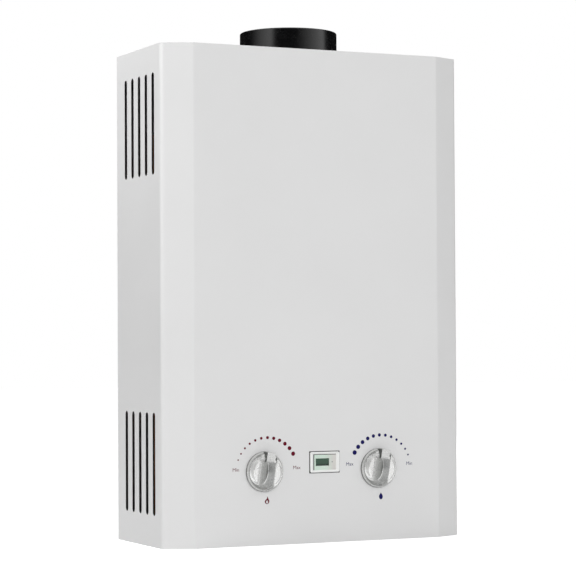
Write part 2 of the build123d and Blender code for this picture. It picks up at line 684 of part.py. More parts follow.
def blade(x):
    """One burner blade: a gas mixing tube below, a thin waist, and a port strip on top."""
    front = BURNER_FRONT + FRAME_SHEET
    at = Plane(origin=(x, front, 0), x_dir=(1, 0, 0), z_dir=(0, -1, 0))
    strip = BLADE_TOP - BLADE_TOP_H
    web = make_face(
        Polyline(
            (-BLADE_W / 2, BLADE_TOP), (BLADE_W / 2, BLADE_TOP), (BLADE_W / 2, strip),
            (BLADE_WAIST / 2, strip - BLADE_W / 2), (BLADE_WAIST / 2, MIXER_Z),
            (-BLADE_WAIST / 2, MIXER_Z), (-BLADE_WAIST / 2, strip - BLADE_W / 2), (-BLADE_W / 2, strip),
            close=True,
        )
    )
    outline = web + Pos(0, MIXER_Z) * octagon(MIXER_R)
    body = extrude(at * outline, amount=-BLADE_L)
    body -= extrude(at * (Pos(0, MIXER_Z) * octagon(MIXER_R - BLADE_WALL)), amount=-MIXER_DEPTH)
    half = BLADE_W / 2 - BLADE_WALL
    bottom = BLADE_TOP - PORT_DEPTH
    for i in range(PORT_COUNT):
        y = front + BLADE_L / 2 + (i - (PORT_COUNT - 1) / 2) * PORT_PITCH
        body -= block(x - half, x + half, y - PORT_W / 2, y + PORT_W / 2, bottom, BLADE_TOP + 1)
    return body


def burner_row():
    """Middle of each blade, from left to right."""
    return [(i - (BLADE_COUNT - 1) / 2) * BLADE_PITCH for i in range(BLADE_COUNT)]


def burner_blades():
    return Compound(children=[blade(x) for x in burner_row()])


def gas_manifold():
    """Square gas rail in front of the blades, with end tabs against the burner frame."""
    half = MANIFOLD_W / 2
    reach = burner_row()[-1] + MANIFOLD_END
    bar_z1 = MIXER_Z + half
    rail = block(-reach, reach, MANIFOLD_REAR - MANIFOLD_W, MANIFOLD_REAR, MIXER_Z - half, bar_z1)
    for side in (-1, 1):
        x0 = side * (reach - MANIFOLD_TAB_W)
        x1 = side * reach
        tab_z = bar_z1 - MANIFOLD_TAB_T
        rail += block(x0, x1, MANIFOLD_REAR - MANIFOLD_TAB_T, BURNER_FRONT, tab_z, bar_z1)
        rail += block(x0, x1, BURNER_FRONT - MANIFOLD_TAB_T, BURNER_FRONT, tab_z, CH_BOTTOM - FIT)
    return rail


def gas_jets():
    """Brass jets on the manifold, one in line with each blade."""
    jets = []
    for x in burner_row():
        at = Plane(origin=(x, MANIFOLD_REAR, MIXER_Z), x_dir=(1, 0, 0), z_dir=(0, 1, 0))
        jet = extrude(at * RegularPolygon(JET_R, 6), amount=JET_L / 2)
        jet += extrude(at * RegularPolygon(JET_TIP_R, 6), amount=JET_L)
        jets.append(jet - extrude(at * RegularPolygon(JET_BORE_R, 6), amount=JET_L + 1))
    return Compound(children=jets)


def gas_riser():
    """Aluminium pipe from the top of the gas valve to the underside of the manifold."""
    half = MANIFOLD_W / 2
    manifold_y = MANIFOLD_REAR - half
    start = CONTROL_Z + VALVE_HALF
    end = MIXER_Z - half
    points = [
        (GAS_RISER_X, -VALVE_BACK, start),
        (GAS_RISER_X, -VALVE_BACK, start + RISER_STRAIGHT),
        (GAS_RISER_X, manifold_y, end - RISER_STRAIGHT),
        (GAS_RISER_X, manifold_y, end),
    ]
    return pipe(points, RISER_R)


# ---------------------------------------------------------------- controls


def spindle_profile(radius, flat):
    """Round section with one flat on top."""
    cut = Pos(0, flat + radius) * Rectangle(4 * radius, 2 * radius)
    return Circle(radius) - cut


def knob(x):
    """Round skirt with a domed grip: scoops on both sides leave a ridge that ends in a pointer."""
    skirt = bar(KNOB_R, (0, 0, 0), (0, 0, 1), KNOB_SKIRT)
    foot = KNOB_R - KNOB_SHOULDER
    rise = KNOB_DEPTH - KNOB_SKIRT
    dome_r = (foot**2 + rise**2) / (2 * rise)
    half_turn = asin(foot / dome_r)
    turns = [half_turn * (2 * i / DOME_CHORDS - 1) for i in range(DOME_CHORDS + 1)]
    arch = [(dome_r * sin(a), KNOB_DEPTH - dome_r + dome_r * cos(a)) for a in turns]
    side_view = make_face(Polyline((-foot, 0), *arch, (foot, 0), close=True))
    inner = (RIDGE_W / 2, KNOB_DEPTH - RIDGE_EDGE)
    outer = (foot, KNOB_SKIRT + SCOOP_FOOT)
    span = sqrt((outer[0] - inner[0]) ** 2 + (inner[1] - outer[1]) ** 2)
    away = sqrt(SCOOP_R**2 - (span / 2) ** 2)
    scoop_x = (inner[0] + outer[0]) / 2 + (inner[1] - outer[1]) / span * away
    scoop_z = (inner[1] + outer[1]) / 2 + (outer[0] - inner[0]) / span * away
    a0 = atan2(inner[1] - scoop_z, inner[0] - scoop_x) % (2 * pi)
    a1 = atan2(outer[1] - scoop_z, outer[0] - scoop_x) % (2 * pi)
    turns = [a0 + (a1 - a0) * i / SCOOP_CHORDS for i in range(SCOOP_CHORDS + 1)]
    flank = [(scoop_x + SCOOP_R * cos(a), scoop_z + SCOOP_R * sin(a)) for a in turns]
    crest = [(RIDGE_W / 2 - RIDGE_EDGE, KNOB_DEPTH), *flank, (foot, 0)]
    end_view = make_face(Polyline(*crest, *[(-u, v) for u, v in reversed(crest)], close=True))
    grip = extrude(Plane.YZ * side_view, amount=foot, both=True)
    grip &= extrude(Plane.XZ * end_view, amount=foot, both=True)
    grip &= extrude(RegularPolygon(foot, GRIP_SIDES), amount=KNOB_DEPTH)
    grip -= block(-KNOB_R, KNOB_R, POINTER_FROM, KNOB_R, KNOB_SKIRT, KNOB_DEPTH)
    pointer = block(-POINTER_W / 2, POINTER_W / 2, 0, foot, 0, POINTER_H)
    body = skirt + grip + pointer
    bore = spindle_profile(SPINDLE_R + RUNNING, SPINDLE_FLAT + RUNNING)
    body -= extrude(bore, amount=SPINDLE_REACH + FIT)
    return front_plane(x, KNOB_BACK, CONTROL_Z) * (Rot(0, 0, -KNOB_TILT) * body)


def spindle(x):
    """Valve spindle: runs in the bore of its boss, and its flat drives the knob."""
    back = -BOSS_FRONT + SPINDLE_DEPTH - FIT
    length = back - KNOB_BACK + SPINDLE_REACH
    shaft = extrude(spindle_profile(SPINDLE_R, SPINDLE_FLAT), amount=length)
    return front_plane(x, back, CONTROL_Z) * (Rot(0, 0, -KNOB_TILT) * shaft)


def display_opening(grow):
    return Rectangle(WINDOW_W + 2 * grow, WINDOW_H + 2 * grow)


def display_bezel():
    """White frame on the cover with a bevelled edge and a sunk window."""
    at = front_plane(DISPLAY_X, -CASE_D, DISPLAY_Z)
    frame = extrude(at * Rectangle(BEZEL_W, BEZEL_H), amount=BEZEL_T)
    frame = chamfer(frame.edges().filter_by(Axis.Y), BEZEL_CORNER)
    frame = chamfer(frame.faces().sort_by(Axis.Y)[0].outer_wire().edges(), BEZEL_BEVEL)
    frame += extrude(at * display_opening(MODULE_WALL), amount=-MODULE_D)
    frame -= extrude(at * display_opening(0), amount=2 * MODULE_D, both=True)
    return frame


def display_face():
    """Pale plate in the window with the opening over the glass."""
    at = front_plane(DISPLAY_X, FACE_FRONT, DISPLAY_Z)
    plate = extrude(at * display_opening(-FIT / 3), amount=-FACE_T)
    hole = at * (Pos(GLASS_X, GLASS_Z) * Rectangle(GLASS_W, GLASS_H))
    return plate - extrude(hole, amount=2 * FACE_T, both=True)


def display_glass():
    """Liquid crystal glass behind the face plate, raised into its opening."""
    at = front_plane(DISPLAY_X, FACE_FRONT + FACE_T, DISPLAY_Z)
    raised = Pos(GLASS_X, GLASS_Z) * Rectangle(GLASS_W - FIT / 3, GLASS_H - FIT / 3)
    return extrude(at * raised, amount=FACE_T / 2) + extrude(at * display_opening(-FIT / 3), amount=-FACE_T)


def display_module():
    """Circuit housing that snaps into the bezel from behind."""
    at = front_plane(DISPLAY_X, FACE_FRONT + 2 * FACE_T, DISPLAY_Z)
    return extrude(at * display_opening(-FIT), amount=-(MODULE_D - FACE_T))


# ---------------------------------------------------------------- valves


def gas_valve_body():
    """Die-cast body with the spindle boss in front, a neck for the rod and the inlet below."""
    y0 = -VALVE_BACK - GAS_FRONT
    z0 = CONTROL_Z - VALVE_HALF
    body = block(GAS_LEFT, GAS_RIGHT, y0, -VALVE_BACK + GAS_REAR, z0, CONTROL_Z + VALVE_HALF)
    body = chamfer(body.edges().filter_by(Axis.X), VALVE_EDGE)
    body += block(FLAME_X - BOSS, FLAME_X + BOSS, -BOSS_FRONT, y0, CONTROL_Z - BOSS, CONTROL_Z + BOSS)
    neck = Plane(origin=(GAS_RIGHT, -VALVE_BACK, CONTROL_Z), z_dir=(1, 0, 0)) * octagon(ROD_NECK)
    body += extrude(neck, amount=ROD_NECK_L)
    body += lift(Pos(GAS_INLET_X, -VALVE_BACK) * octagon(INLET_BOSS), FITTING_TOP, z0)
    body -= bar(SPINDLE_R + RUNNING, (FLAME_X, -BOSS_FRONT, CONTROL_Z), (0, 1, 0), SPINDLE_DEPTH)
    return body - bar(ROD_R + RUNNING, (ROD_LEFT + 1, -VALVE_BACK, CONTROL_Z), (-1, 0, 0), ROD_INTO_GAS)


def gas_solenoid():
    """Safety valve coil on the left end of the gas valve, with its square flange."""
    solid = None
    for half, length in ((SOLENOID + SOLENOID_LIP, SOLENOID_LIP_T), (SOLENOID, SOLENOID_L)):
        piece = block(GAS_LEFT - length, GAS_LEFT, -VALVE_BACK - half, -VALVE_BACK + half,
                      CONTROL_Z - half, CONTROL_Z + half)
        solid = piece if solid is None else solid + piece
    return chamfer(solid.faces().sort_by(Axis.X)[0].edges(), SOLENOID_EDGE)


def water_valve_body():
    """Brass body: the flange against the diaphragm, the spindle boss, and two ports below."""
    y0 = -VALVE_BACK - GAS_FRONT
    z0 = CONTROL_Z - VALVE_HALF
    body = block(WATER_LEFT, WATER_RIGHT, y0, -VALVE_BACK + GAS_REAR, z0, CONTROL_Z + VALVE_HALF)
    body = chamfer(body.edges().filter_by(Axis.X), 2 * VALVE_EDGE)
    flange = Plane(origin=(WATER_LEFT, -VALVE_BACK, CONTROL_Z), z_dir=(1, 0, 0)) * octagon(DIAPHRAGM_R)
    body += extrude(flange, amount=WATER_FLANGE_T)
    body += block(WATER_X - BOSS, WATER_X + BOSS, -BOSS_FRONT, y0, CONTROL_Z - BOSS, CONTROL_Z + BOSS)
    body += lift(Pos(COLD_INLET_X, -VALVE_BACK) * octagon(INLET_BOSS), FITTING_TOP, z0)
    body += lift(Pos(DRAIN_X, -VALVE_BACK) * octagon(DRAIN_R + DRAIN_WALL), DRAIN_TOP, z0)
    return body - bar(SPINDLE_R + RUNNING, (WATER_X, -BOSS_FRONT, CONTROL_Z), (0, 1, 0), SPINDLE_DEPTH)


def diaphragm():
    """Rubber sheet clamped between the water valve and its cover."""
    outline = Plane(origin=(DIAPHRAGM_X, -VALVE_BACK, CONTROL_Z), z_dir=(1, 0, 0)) * octagon(DIAPHRAGM_R)
    return extrude(outline, amount=DIAPHRAGM_T)


def diaphragm_cover():
    """Dished cover that guides the push rod and holds the diaphragm."""
    at = Plane(origin=(DIAPHRAGM_X, -VALVE_BACK, CONTROL_Z), z_dir=(-1, 0, 0))
    cover = extrude(at * octagon(DIAPHRAGM_R), amount=DIAPHRAGM_COVER_T)
    cover = chamfer(cover.faces().sort_by(Axis.X)[0].outer_wire().edges(), DIAPHRAGM_COVER_EDGE)
    cover += extrude(at * octagon(ROD_GUIDE_R), amount=DIAPHRAGM_X - ROD_RIGHT)
    cover -= extrude(at * octagon(DIAPHRAGM_CHAMBER_R), amount=DIAPHRAGM_COVER_T - DIAPHRAGM_COVER_WALL)
    bore = 2 * (DIAPHRAGM_X - ROD_RIGHT)
    return cover - bar(ROD_R + RUNNING, (DIAPHRAGM_X, -VALVE_BACK, CONTROL_Z), (-1, 0, 0), bore)


def push_rod():
    """Rod that the diaphragm pushes towards the gas valve; its collar works the microswitch."""
    plate_x = DIAPHRAGM_X - FIT - ROD_PLATE_T
    left = ROD_LEFT - ROD_INTO_GAS + ROD_TRAVEL + ROD_SLACK
    rod = bar(ROD_R, (left, -VALVE_BACK, CONTROL_Z), (1, 0, 0), plate_x - left)
    discs = [(COLLAR_X, ROD_COLLAR, ROD_COLLAR_T), (plate_x, ROD_PLATE, ROD_PLATE_T)]
    for x, size, thickness in discs:
        at = Plane(origin=(x, -VALVE_BACK, CONTROL_Z), z_dir=(1, 0, 0))
        rod += extrude(at * octagon(size), amount=thickness)
    return rod


def valve_brackets():
    """Z-shaped strips that carry both valves on the back plate."""
    rear = -VALVE_BACK + GAS_REAR
    shelf = CONTROL_Z - VALVE_STRIP_T
    strips = []
    for x in (FLAME_X, WATER_X + WATER_STRIP_SHIFT):
        x0 = x - VALVE_STRIP_W / 2
        x1 = x + VALVE_STRIP_W / 2
        strip = block(x0, x1, -2 * CHASSIS_SHEET, -CHASSIS_SHEET, WALL_HOLES_Z + VALVE_STRIP_RISE, CONTROL_Z)
        strip += block(x0, x1, rear, -CHASSIS_SHEET, shelf, CONTROL_Z)
        strip += block(x0, x1, rear, rear + VALVE_STRIP_T, shelf, CONTROL_Z + VALVE_HALF - VALVE_EDGE)
        strips.append(strip)
    return Compound(children=strips)


# ---------------------------------------------------------------- connectors


def hexagon(x, y, across, z0, z1):
    """Upright hexagonal prism, its size measured across the flats."""
    return lift(Pos(x, y) * RegularPolygon(across / 2, 6, major_radius=False), z0, z1)


def connector(x, y):
    """Male G 1/2 thread below a hexagon, with a hexagon socket through it, under a valve or pipe."""
    thread_top = THREAD_CLEAR + THREAD_L
    body = bar(THREAD_R, (x, y, THREAD_CLEAR), (0, 0, 1), THREAD_L)
    body += hexagon(x, y, HEX_AF, thread_top, FITTING_TOP)
    return body - hexagon(x, y, SOCKET_AF, 0, thread_top)


def drain_plug():
    """Plug with a square head that lets the water out before frost."""
    low = DRAIN_TOP - DRAIN_L
    plug = hexagon(DRAIN_X, -VALVE_BACK, 2 * DRAIN_R, low, DRAIN_TOP)
    head = DRAIN_HEAD
    y0 = -VALVE_BACK - head
    y1 = -VALVE_BACK + head
    return plug + block(DRAIN_X - head, DRAIN_X + head, y0, y1, low - DRAIN_HEAD_T, low)


# ---------------------------------------------------------------- battery box


def battery_box():
    """Moulded box for the cells, open at the bottom, with a flange that rests on the bottom plate."""
    top = CELLS_TOP + FIT + CONTACT_T
    outer = CELL_ROOM + BOX_WALL
    box = block(BOX_X - outer, BOX_X + outer, BOX_Y - outer, BOX_Y + outer, COVER_SHEET, top + BOX_WALL)
    lip = outer + BOX_LIP
    box += block(BOX_X - lip, BOX_X + lip, BOX_Y - lip, BOX_Y + lip, FLOOR, FLOOR + BOX_WALL)
    box -= block(BOX_X - CELL_ROOM, BOX_X + CELL_ROOM, BOX_Y - CELL_ROOM, BOX_Y + CELL_ROOM, 0, top)
    half = HINGE_PIN_R + RUNNING
    z0 = HINGE_Z - half
    z1 = HINGE_Z + half
    return box - block(BOX_X - outer, BOX_X + outer, HINGE_Y - half, HINGE_Y + half, z0, z1)


def battery_door():
    """Flap under the cells with a hinge barrel along its rear edge."""
    half = CELL_ROOM - FIT
    door = block(BOX_X - half, BOX_X + half, BOX_Y - half, HINGE_Y, COVER_SHEET, DOOR_TOP)
    barrel = Plane(origin=(BOX_X - half, HINGE_Y, HINGE_Z), z_dir=(1, 0, 0)) * octagon(HINGE_R)
    door += extrude(barrel, amount=2 * half)
    return door - bar(HINGE_PIN_R + RUNNING, (BOX_X - half - 1, HINGE_Y, HINGE_Z), (1, 0, 0), 2 * half + 2)


def door_hinge_pin():
    outer = CELL_ROOM + BOX_WALL
    return bar(HINGE_PIN_R, (BOX_X - outer, HINGE_Y, HINGE_Z), (1, 0, 0), 2 * outer)


def door_contact():
    """Spring strip on the inside of the door, with its tongue bent up under the cell."""
    half = CONTACT_W / 2
    strip = block(BOX_X - half, BOX_X + half, BOX_Y - half, BOX_Y + half, DOOR_TOP, DOOR_TOP + CONTACT_T)
    half = CONTACT_TONGUE / 2
    return strip + block(BOX_X - half, BOX_X + half, BOX_Y - half, BOX_Y + half, DOOR_TOP, CELLS_BOTTOM - FIT)


def top_contact():
    """Strip against the roof of the box."""
    half = CONTACT_W / 2
    z1 = CELLS_TOP + FIT + CONTACT_T
    return block(BOX_X - half, BOX_X + half, BOX_Y - half, BOX_Y + half, CELLS_TOP, z1)


def battery_cells():
    """Two D cells, one on top of the other, each with its positive tip up."""
    cells = []
    for i in range(2):
        z0 = CELLS_BOTTOM + i * (CELL_L + CELL_TIP_H)
        cell = bar(CELL_R, (BOX_X, BOX_Y, z0), (0, 0, 1), CELL_L)
        tip = lift(Pos(BOX_X, BOX_Y) * octagon(CELL_TIP), z0 + CELL_L, z0 + CELL_L + CELL_TIP_H)
        cells.append(cell + tip)
    return Compound(children=cells)


# ---------------------------------------------------------------- electrical pieces


def igniter_box():
    """Pulse igniter on the back plate, a moulded case with a socket for the leads."""
    y0 = -CHASSIS_SHEET - IGNITER_D
    z1 = IGNITER_Z + IGNITER_H
    case = block(IGNITER_X - IGNITER_W / 2, IGNITER_X + IGNITER_W / 2, y0, -CHASSIS_SHEET, IGNITER_Z, z1)
    case = chamfer(case.edges().filter_by(Axis.Y), IGNITER_EDGE)
    x = IGNITER_X + IGNITER_SOCKET_X
    y = y0 + IGNITER_D / 2
    half = IGNITER_SOCKET / 2
    return case + block(x - half, x + half, y - half, y + half, z1, z1 + IGNITER_SOCKET_H)


def microswitch():
    """Snap switch over the push rod, with two ears that hold its lever."""
    z0 = LEVER_Z + SWITCH_EAR
    y = -VALVE_BACK
    x0 = LEVER_X - SWITCH_W / 2
    x1 = LEVER_X + SWITCH_W / 2
    switch = block(x0, x1, y - SWITCH_L / 2, y + SWITCH_L / 2, z0, z0 + SWITCH_H)
    for side in (-1, 1):
        inner = y + side * (LEVER_W / 2 + FIT)
        ear = SWITCH_EAR
        switch += block(LEVER_X - ear, LEVER_X + ear, inner, inner + side * ear, LEVER_Z - ear, z0)
    half = LEVER_PIVOT_R + RUNNING
    hole = block(LEVER_X - half, LEVER_X + half, y - LEVER_W, y + LEVER_W, LEVER_Z - half, LEVER_Z + half)
    return switch - hole


def microswitch_lever():
    """Spring-steel strip that hangs beside the collar of the push rod."""
    y = -VALVE_BACK
    x0 = LEVER_X - LEVER_T / 2
    x1 = LEVER_X + LEVER_T / 2
    tip = CONTROL_Z + ROD_R + LEVER_TIP_GAP
    strip = block(x0, x1, y - LEVER_W / 2, y + LEVER_W / 2, tip, LEVER_Z)
    half = LEVER_W / 2 + FIT + SWITCH_EAR
    return strip + bar(LEVER_PIVOT_R, (LEVER_X, y - half, LEVER_Z), (0, 1, 0), 2 * half)


def microswitch_bracket():
    """Strip from the top of the gas valve that carries the switch."""
    z0 = LEVER_Z + SWITCH_EAR + SWITCH_H
    top = CONTROL_Z + VALVE_HALF
    y0 = -VALVE_BACK - SWITCH_STRIP_W / 2
    y1 = -VALVE_BACK + SWITCH_STRIP_W / 2
    t = SWITCH_STRIP_T
    strip = block(GAS_RIGHT - SWITCH_STRIP_FOOT, GAS_RIGHT, y0, y1, top, top + t)
    strip += block(GAS_RIGHT - t, GAS_RIGHT, y0, y1, top, z0 + t)
    return strip + block(GAS_RIGHT - t, LEVER_X + SWITCH_W / 2, y0, y1, z0, z0 + t)


def electrode(x):
    """Ceramic rod through the front of the chamber, with a wire that ends over the blades."""
    y = -FLUE_BACK - CH_D / 2 - ELECTRODE_OUT
    ceramic = bar(ELECTRODE_R, (x, y, ELECTRODE_Z), (0, 1, 0), ELECTRODE_L)
    half = ELECTRODE_WIRE / 2
    y0 = y - ELECTRODE_TAIL
    y1 = y + ELECTRODE_L + ELECTRODE_TIP
    return ceramic + block(x - half, x + half, y0, y1, ELECTRODE_Z - half, ELECTRODE_Z + half)


def electrode_bracket():
    """Strip on the front of the chamber that holds both ceramics."""
    y1 = -FLUE_BACK - CH_D / 2
    reach = ELECTRODE_X + ELECTRODE_R + ELECTRODE_STRIP_EDGE
    rise = ELECTRODE_STRIP_EDGE
    strip = block(-reach, reach, y1 - ELECTRODE_STRIP_T, y1, ELECTRODE_Z - rise, ELECTRODE_Z + rise)
    half = ELECTRODE_R + RUNNING
    for x in (-ELECTRODE_X, ELECTRODE_X):
        strip -= block(x - half, x + half, y1 - 2, y1 + 1, ELECTRODE_Z - half, ELECTRODE_Z + half)
    return strip


def overheat_thermostat():
    """Snap-disc thermostat on the front of the exchanger, with its flange and two tabs."""
    y = -FLUE_BACK - HX_D / 2
    body = bar(THERMOSTAT_R, (0, y, TUBE_Z), (0, -1, 0), THERMOSTAT_T)
    half_w = THERMOSTAT_FLANGE_W / 2
    half_h = THERMOSTAT_FLANGE_H / 2
    body += block(-half_w, half_w, y - CHASSIS_SHEET, y, TUBE_Z - half_h, TUBE_Z + half_h)
    front = y - THERMOSTAT_T
    for x in (-TAB_PITCH / 2, TAB_PITCH / 2):
        half = TAB_T / 2
        body += block(x - half, x + half, front - TAB_L, front, TUBE_Z - TAB_W / 2, TUBE_Z + TAB_W / 2)
    return body


NODES = {
    "front_cover": front_cover,
    "back_plate": back_plate,
    "top_plate": top_plate,
    "bottom_plate": bottom_plate,
    "flue_collar": flue_collar,
    "draft_hood": draft_hood,
    "exchanger_shell": exchanger_shell,
    "exchanger_fins": exchanger_fins,
    "exchanger_tubes": exchanger_tubes,
    "return_caps": return_caps,
    "exchanger_brackets": exchanger_brackets,
    "combustion_chamber": combustion_chamber,
    "cold_pipe": cold_pipe,
    "hot_pipe": hot_pipe,
    "burner_frame": burner_frame,
    "burner_blades": burner_blades,
    "gas_manifold": gas_manifold,
    "gas_jets": gas_jets,
    "gas_riser": gas_riser,
    "flame_knob": lambda: knob(FLAME_X),
    "water_knob": lambda: knob(WATER_X),
    "gas_spindle": lambda: spindle(FLAME_X),
    "water_spindle": lambda: spindle(WATER_X),
    "display_bezel": display_bezel,
    "display_face": display_face,
    "display_glass": display_glass,
    "display_module": display_module,
    "gas_valve_body": gas_valve_body,
    "gas_solenoid": gas_solenoid,
    "water_valve_body": water_valve_body,
    "diaphragm": diaphragm,
    "diaphragm_cover": diaphragm_cover,
    "push_rod": push_rod,
    "valve_brackets": valve_brackets,
    "gas_inlet_connector": lambda: connector(*FITTINGS[0]),
    "cold_inlet_connector": lambda: connector(*FITTINGS[1]),
    "hot_outlet_connector": lambda: connector(*FITTINGS[2]),
    "drain_plug": drain_plug,
    "battery_box": battery_box,
    "battery_door": battery_door,
    "door_hinge_pin": door_hinge_pin,
    "door_contact": door_contact,
    "top_contact": top_contact,
    "battery_cells": battery_cells,
    "igniter_box": igniter_box,
    "microswitch": microswitch,
    "microswitch_lever": microswitch_lever,
    "microswitch_bracket": microswitch_bracket,
    "ignition_electrode": lambda: electrode(ELECTRODE_X),
    "flame_sensor": lambda: electrode(-ELECTRODE_X),
    "electrode_bracket": electrode_bracket,
    "overheat_thermostat": overheat_thermostat,
}

os.makedirs("parts", exist_ok=True)
for node, make in NODES.items():
    export_step(make(), f"parts/{node}.step")
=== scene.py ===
import math

import bmesh
import bpy
from mathutils import Matrix, Vector


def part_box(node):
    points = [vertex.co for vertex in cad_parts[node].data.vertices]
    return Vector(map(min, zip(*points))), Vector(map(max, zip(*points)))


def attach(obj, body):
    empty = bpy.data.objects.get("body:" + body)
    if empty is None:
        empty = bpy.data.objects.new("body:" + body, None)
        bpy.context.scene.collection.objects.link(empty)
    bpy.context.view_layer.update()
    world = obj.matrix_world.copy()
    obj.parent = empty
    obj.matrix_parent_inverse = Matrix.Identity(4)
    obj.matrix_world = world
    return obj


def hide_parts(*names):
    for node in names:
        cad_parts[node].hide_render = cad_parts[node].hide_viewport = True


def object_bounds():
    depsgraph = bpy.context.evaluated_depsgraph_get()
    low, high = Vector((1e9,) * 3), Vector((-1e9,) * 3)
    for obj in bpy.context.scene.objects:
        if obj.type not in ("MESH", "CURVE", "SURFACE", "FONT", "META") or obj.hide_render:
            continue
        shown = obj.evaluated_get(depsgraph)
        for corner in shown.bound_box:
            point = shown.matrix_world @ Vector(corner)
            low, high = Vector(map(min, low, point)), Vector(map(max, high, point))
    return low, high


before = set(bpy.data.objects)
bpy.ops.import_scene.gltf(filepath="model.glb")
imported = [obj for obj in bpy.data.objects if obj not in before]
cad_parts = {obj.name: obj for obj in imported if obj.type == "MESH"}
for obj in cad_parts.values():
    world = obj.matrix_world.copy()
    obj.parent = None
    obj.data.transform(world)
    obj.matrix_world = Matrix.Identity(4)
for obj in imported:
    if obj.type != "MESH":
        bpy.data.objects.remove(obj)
cad_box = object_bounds()


# ---------------------------------------------------------------- front cover
# One sheet of mild steel folded round the front and both sides, with vent slots punched in the sides.
# It is stove-enamelled in a light grey, inside and out, and hooks over the end plates.

MM = 0.001
CASE_DEPTH = -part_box("front_cover")[0].y  # from the wall to the front face
CASE_HALF, CASE_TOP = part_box("front_cover")[1].x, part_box("front_cover")[1].z
BEVEL_DEPTH = 11.0  # mm along the side
BEVEL_WIDTH = 26.5  # mm across the front
BEVEL_SPOT = Vector((CASE_HALF, -CASE_DEPTH + BEVEL_DEPTH * MM, 0))  # where the side would meet the bevel
BEVEL_NORMAL = Vector((BEVEL_DEPTH, -BEVEL_WIDTH, 0)).normalized()
SHEET_SHARE = 0.92 * MM  # of the 1 mm sheet, so that the rounded folds count as outside
END_SHARE = 1.5 * MM  # of the height, at the top and at the bottom


def linear(code):
    """Linear RGBA of an sRGB hex colour."""
    shares = [int(code[i : i + 2], 16) / 255 for i in (0, 2, 4)]
    return (*[s / 12.92 if s <= 0.04045 else ((s + 0.055) / 1.055) ** 2.4 for s in shares], 1.0)


def per_mm(size):
    """Scale of a pattern whose features are that many millimetres wide."""
    return 1 / (size * MM)


def add(tree, kind, settings, feeds):
    """Adds a node, gives it its settings, and feeds its inputs with values or other nodes' outputs."""
    made = tree.nodes.new(kind)
    for name, value in settings.items():
        setattr(made, name, value)
    for name, feed in feeds.items():
        if isinstance(feed, bpy.types.NodeSocket):
            tree.links.new(feed, made.inputs[name])
        else:
            made.inputs[name].default_value = feed
    return made


def start_material(name):
    """Empty material, its node tree, and the object coordinates that its patterns read."""
    material = bpy.data.materials.new(name)
    material.use_nodes = True
    tree = material.node_tree
    tree.nodes.clear()
    return material, tree, add(tree, "ShaderNodeTexCoord", {}, {}).outputs["Object"]


def noise(tree, place, size, detail):
    """Cloudy pattern whose features are that many millimetres wide."""
    feeds = {"Vector": place, "Scale": per_mm(size), "Detail": detail}
    return add(tree, "ShaderNodeTexNoise", {}, feeds).outputs["Fac"]


def mix(tree, share, first, second):
    """Blend of two colours."""
    return add(tree, "ShaderNodeMix", {"data_type": "RGBA"}, {"Factor": share, 6: first, 7: second}).outputs[2]


def maths(tree, operation, *values):
    """Result of one operation on numbers or sockets."""
    return add(tree, "ShaderNodeMath", {"operation": operation}, dict(enumerate(values))).outputs["Value"]


def remap(tree, value, low, high, start=0.0, end=1.0, curve="LINEAR"):
    """Carries a value from the span low to high over to the span start to end."""
    feeds = {"Value": value, "From Min": low, "From Max": high, "To Min": start, "To Max": end}
    return add(tree, "ShaderNodeMapRange", {"interpolation_type": curve}, feeds).outputs["Result"]


def split(tree, vector):
    """The three parts of a vector, by the names X, Y and Z."""
    return add(tree, "ShaderNodeSeparateXYZ", {}, {"Vector": vector}).outputs


def dent(tree, height, strength, depth):
    """Normal of a surface that a pattern presses in by up to that many millimetres."""
    feeds = {"Height": height, "Strength": strength, "Distance": depth * MM}
    return add(tree, "ShaderNodeBump", {}, feeds).outputs["Normal"]


def shade(tree, feeds):
    """Ends a material in one shader."""
    shader = add(tree, "ShaderNodeBsdfPrincipled", {}, feeds)
    add(tree, "ShaderNodeOutputMaterial", {}, {"Surface": shader.outputs["BSDF"]})


def paint_nodes(slot, material):
    """Gives a finish to each CAD node that has this material slot."""
    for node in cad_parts.values():
        for i, held in enumerate(node.data.materials):
            if held and held.name.split(".")[0] == slot:
                node.data.materials[i] = material


# Stove enamel on steel: even and softly glossy, with a faint orange peel from the spray gun.
# The real peel is about 1 mm across, too fine to show, so it is drawn at 2.5 mm. Only the outside has the
# light enamel colour; the inside is painted near black as painted shade, which leaves the vent slots black.
enamel, tree, place = start_material("stove_enamel_grey")
cloud = noise(tree, place, 90, 2.0)
peel = noise(tree, place, 2.5, 3.0)
colour = mix(tree, cloud, linear("DADADA"), linear("DEDEDE"))
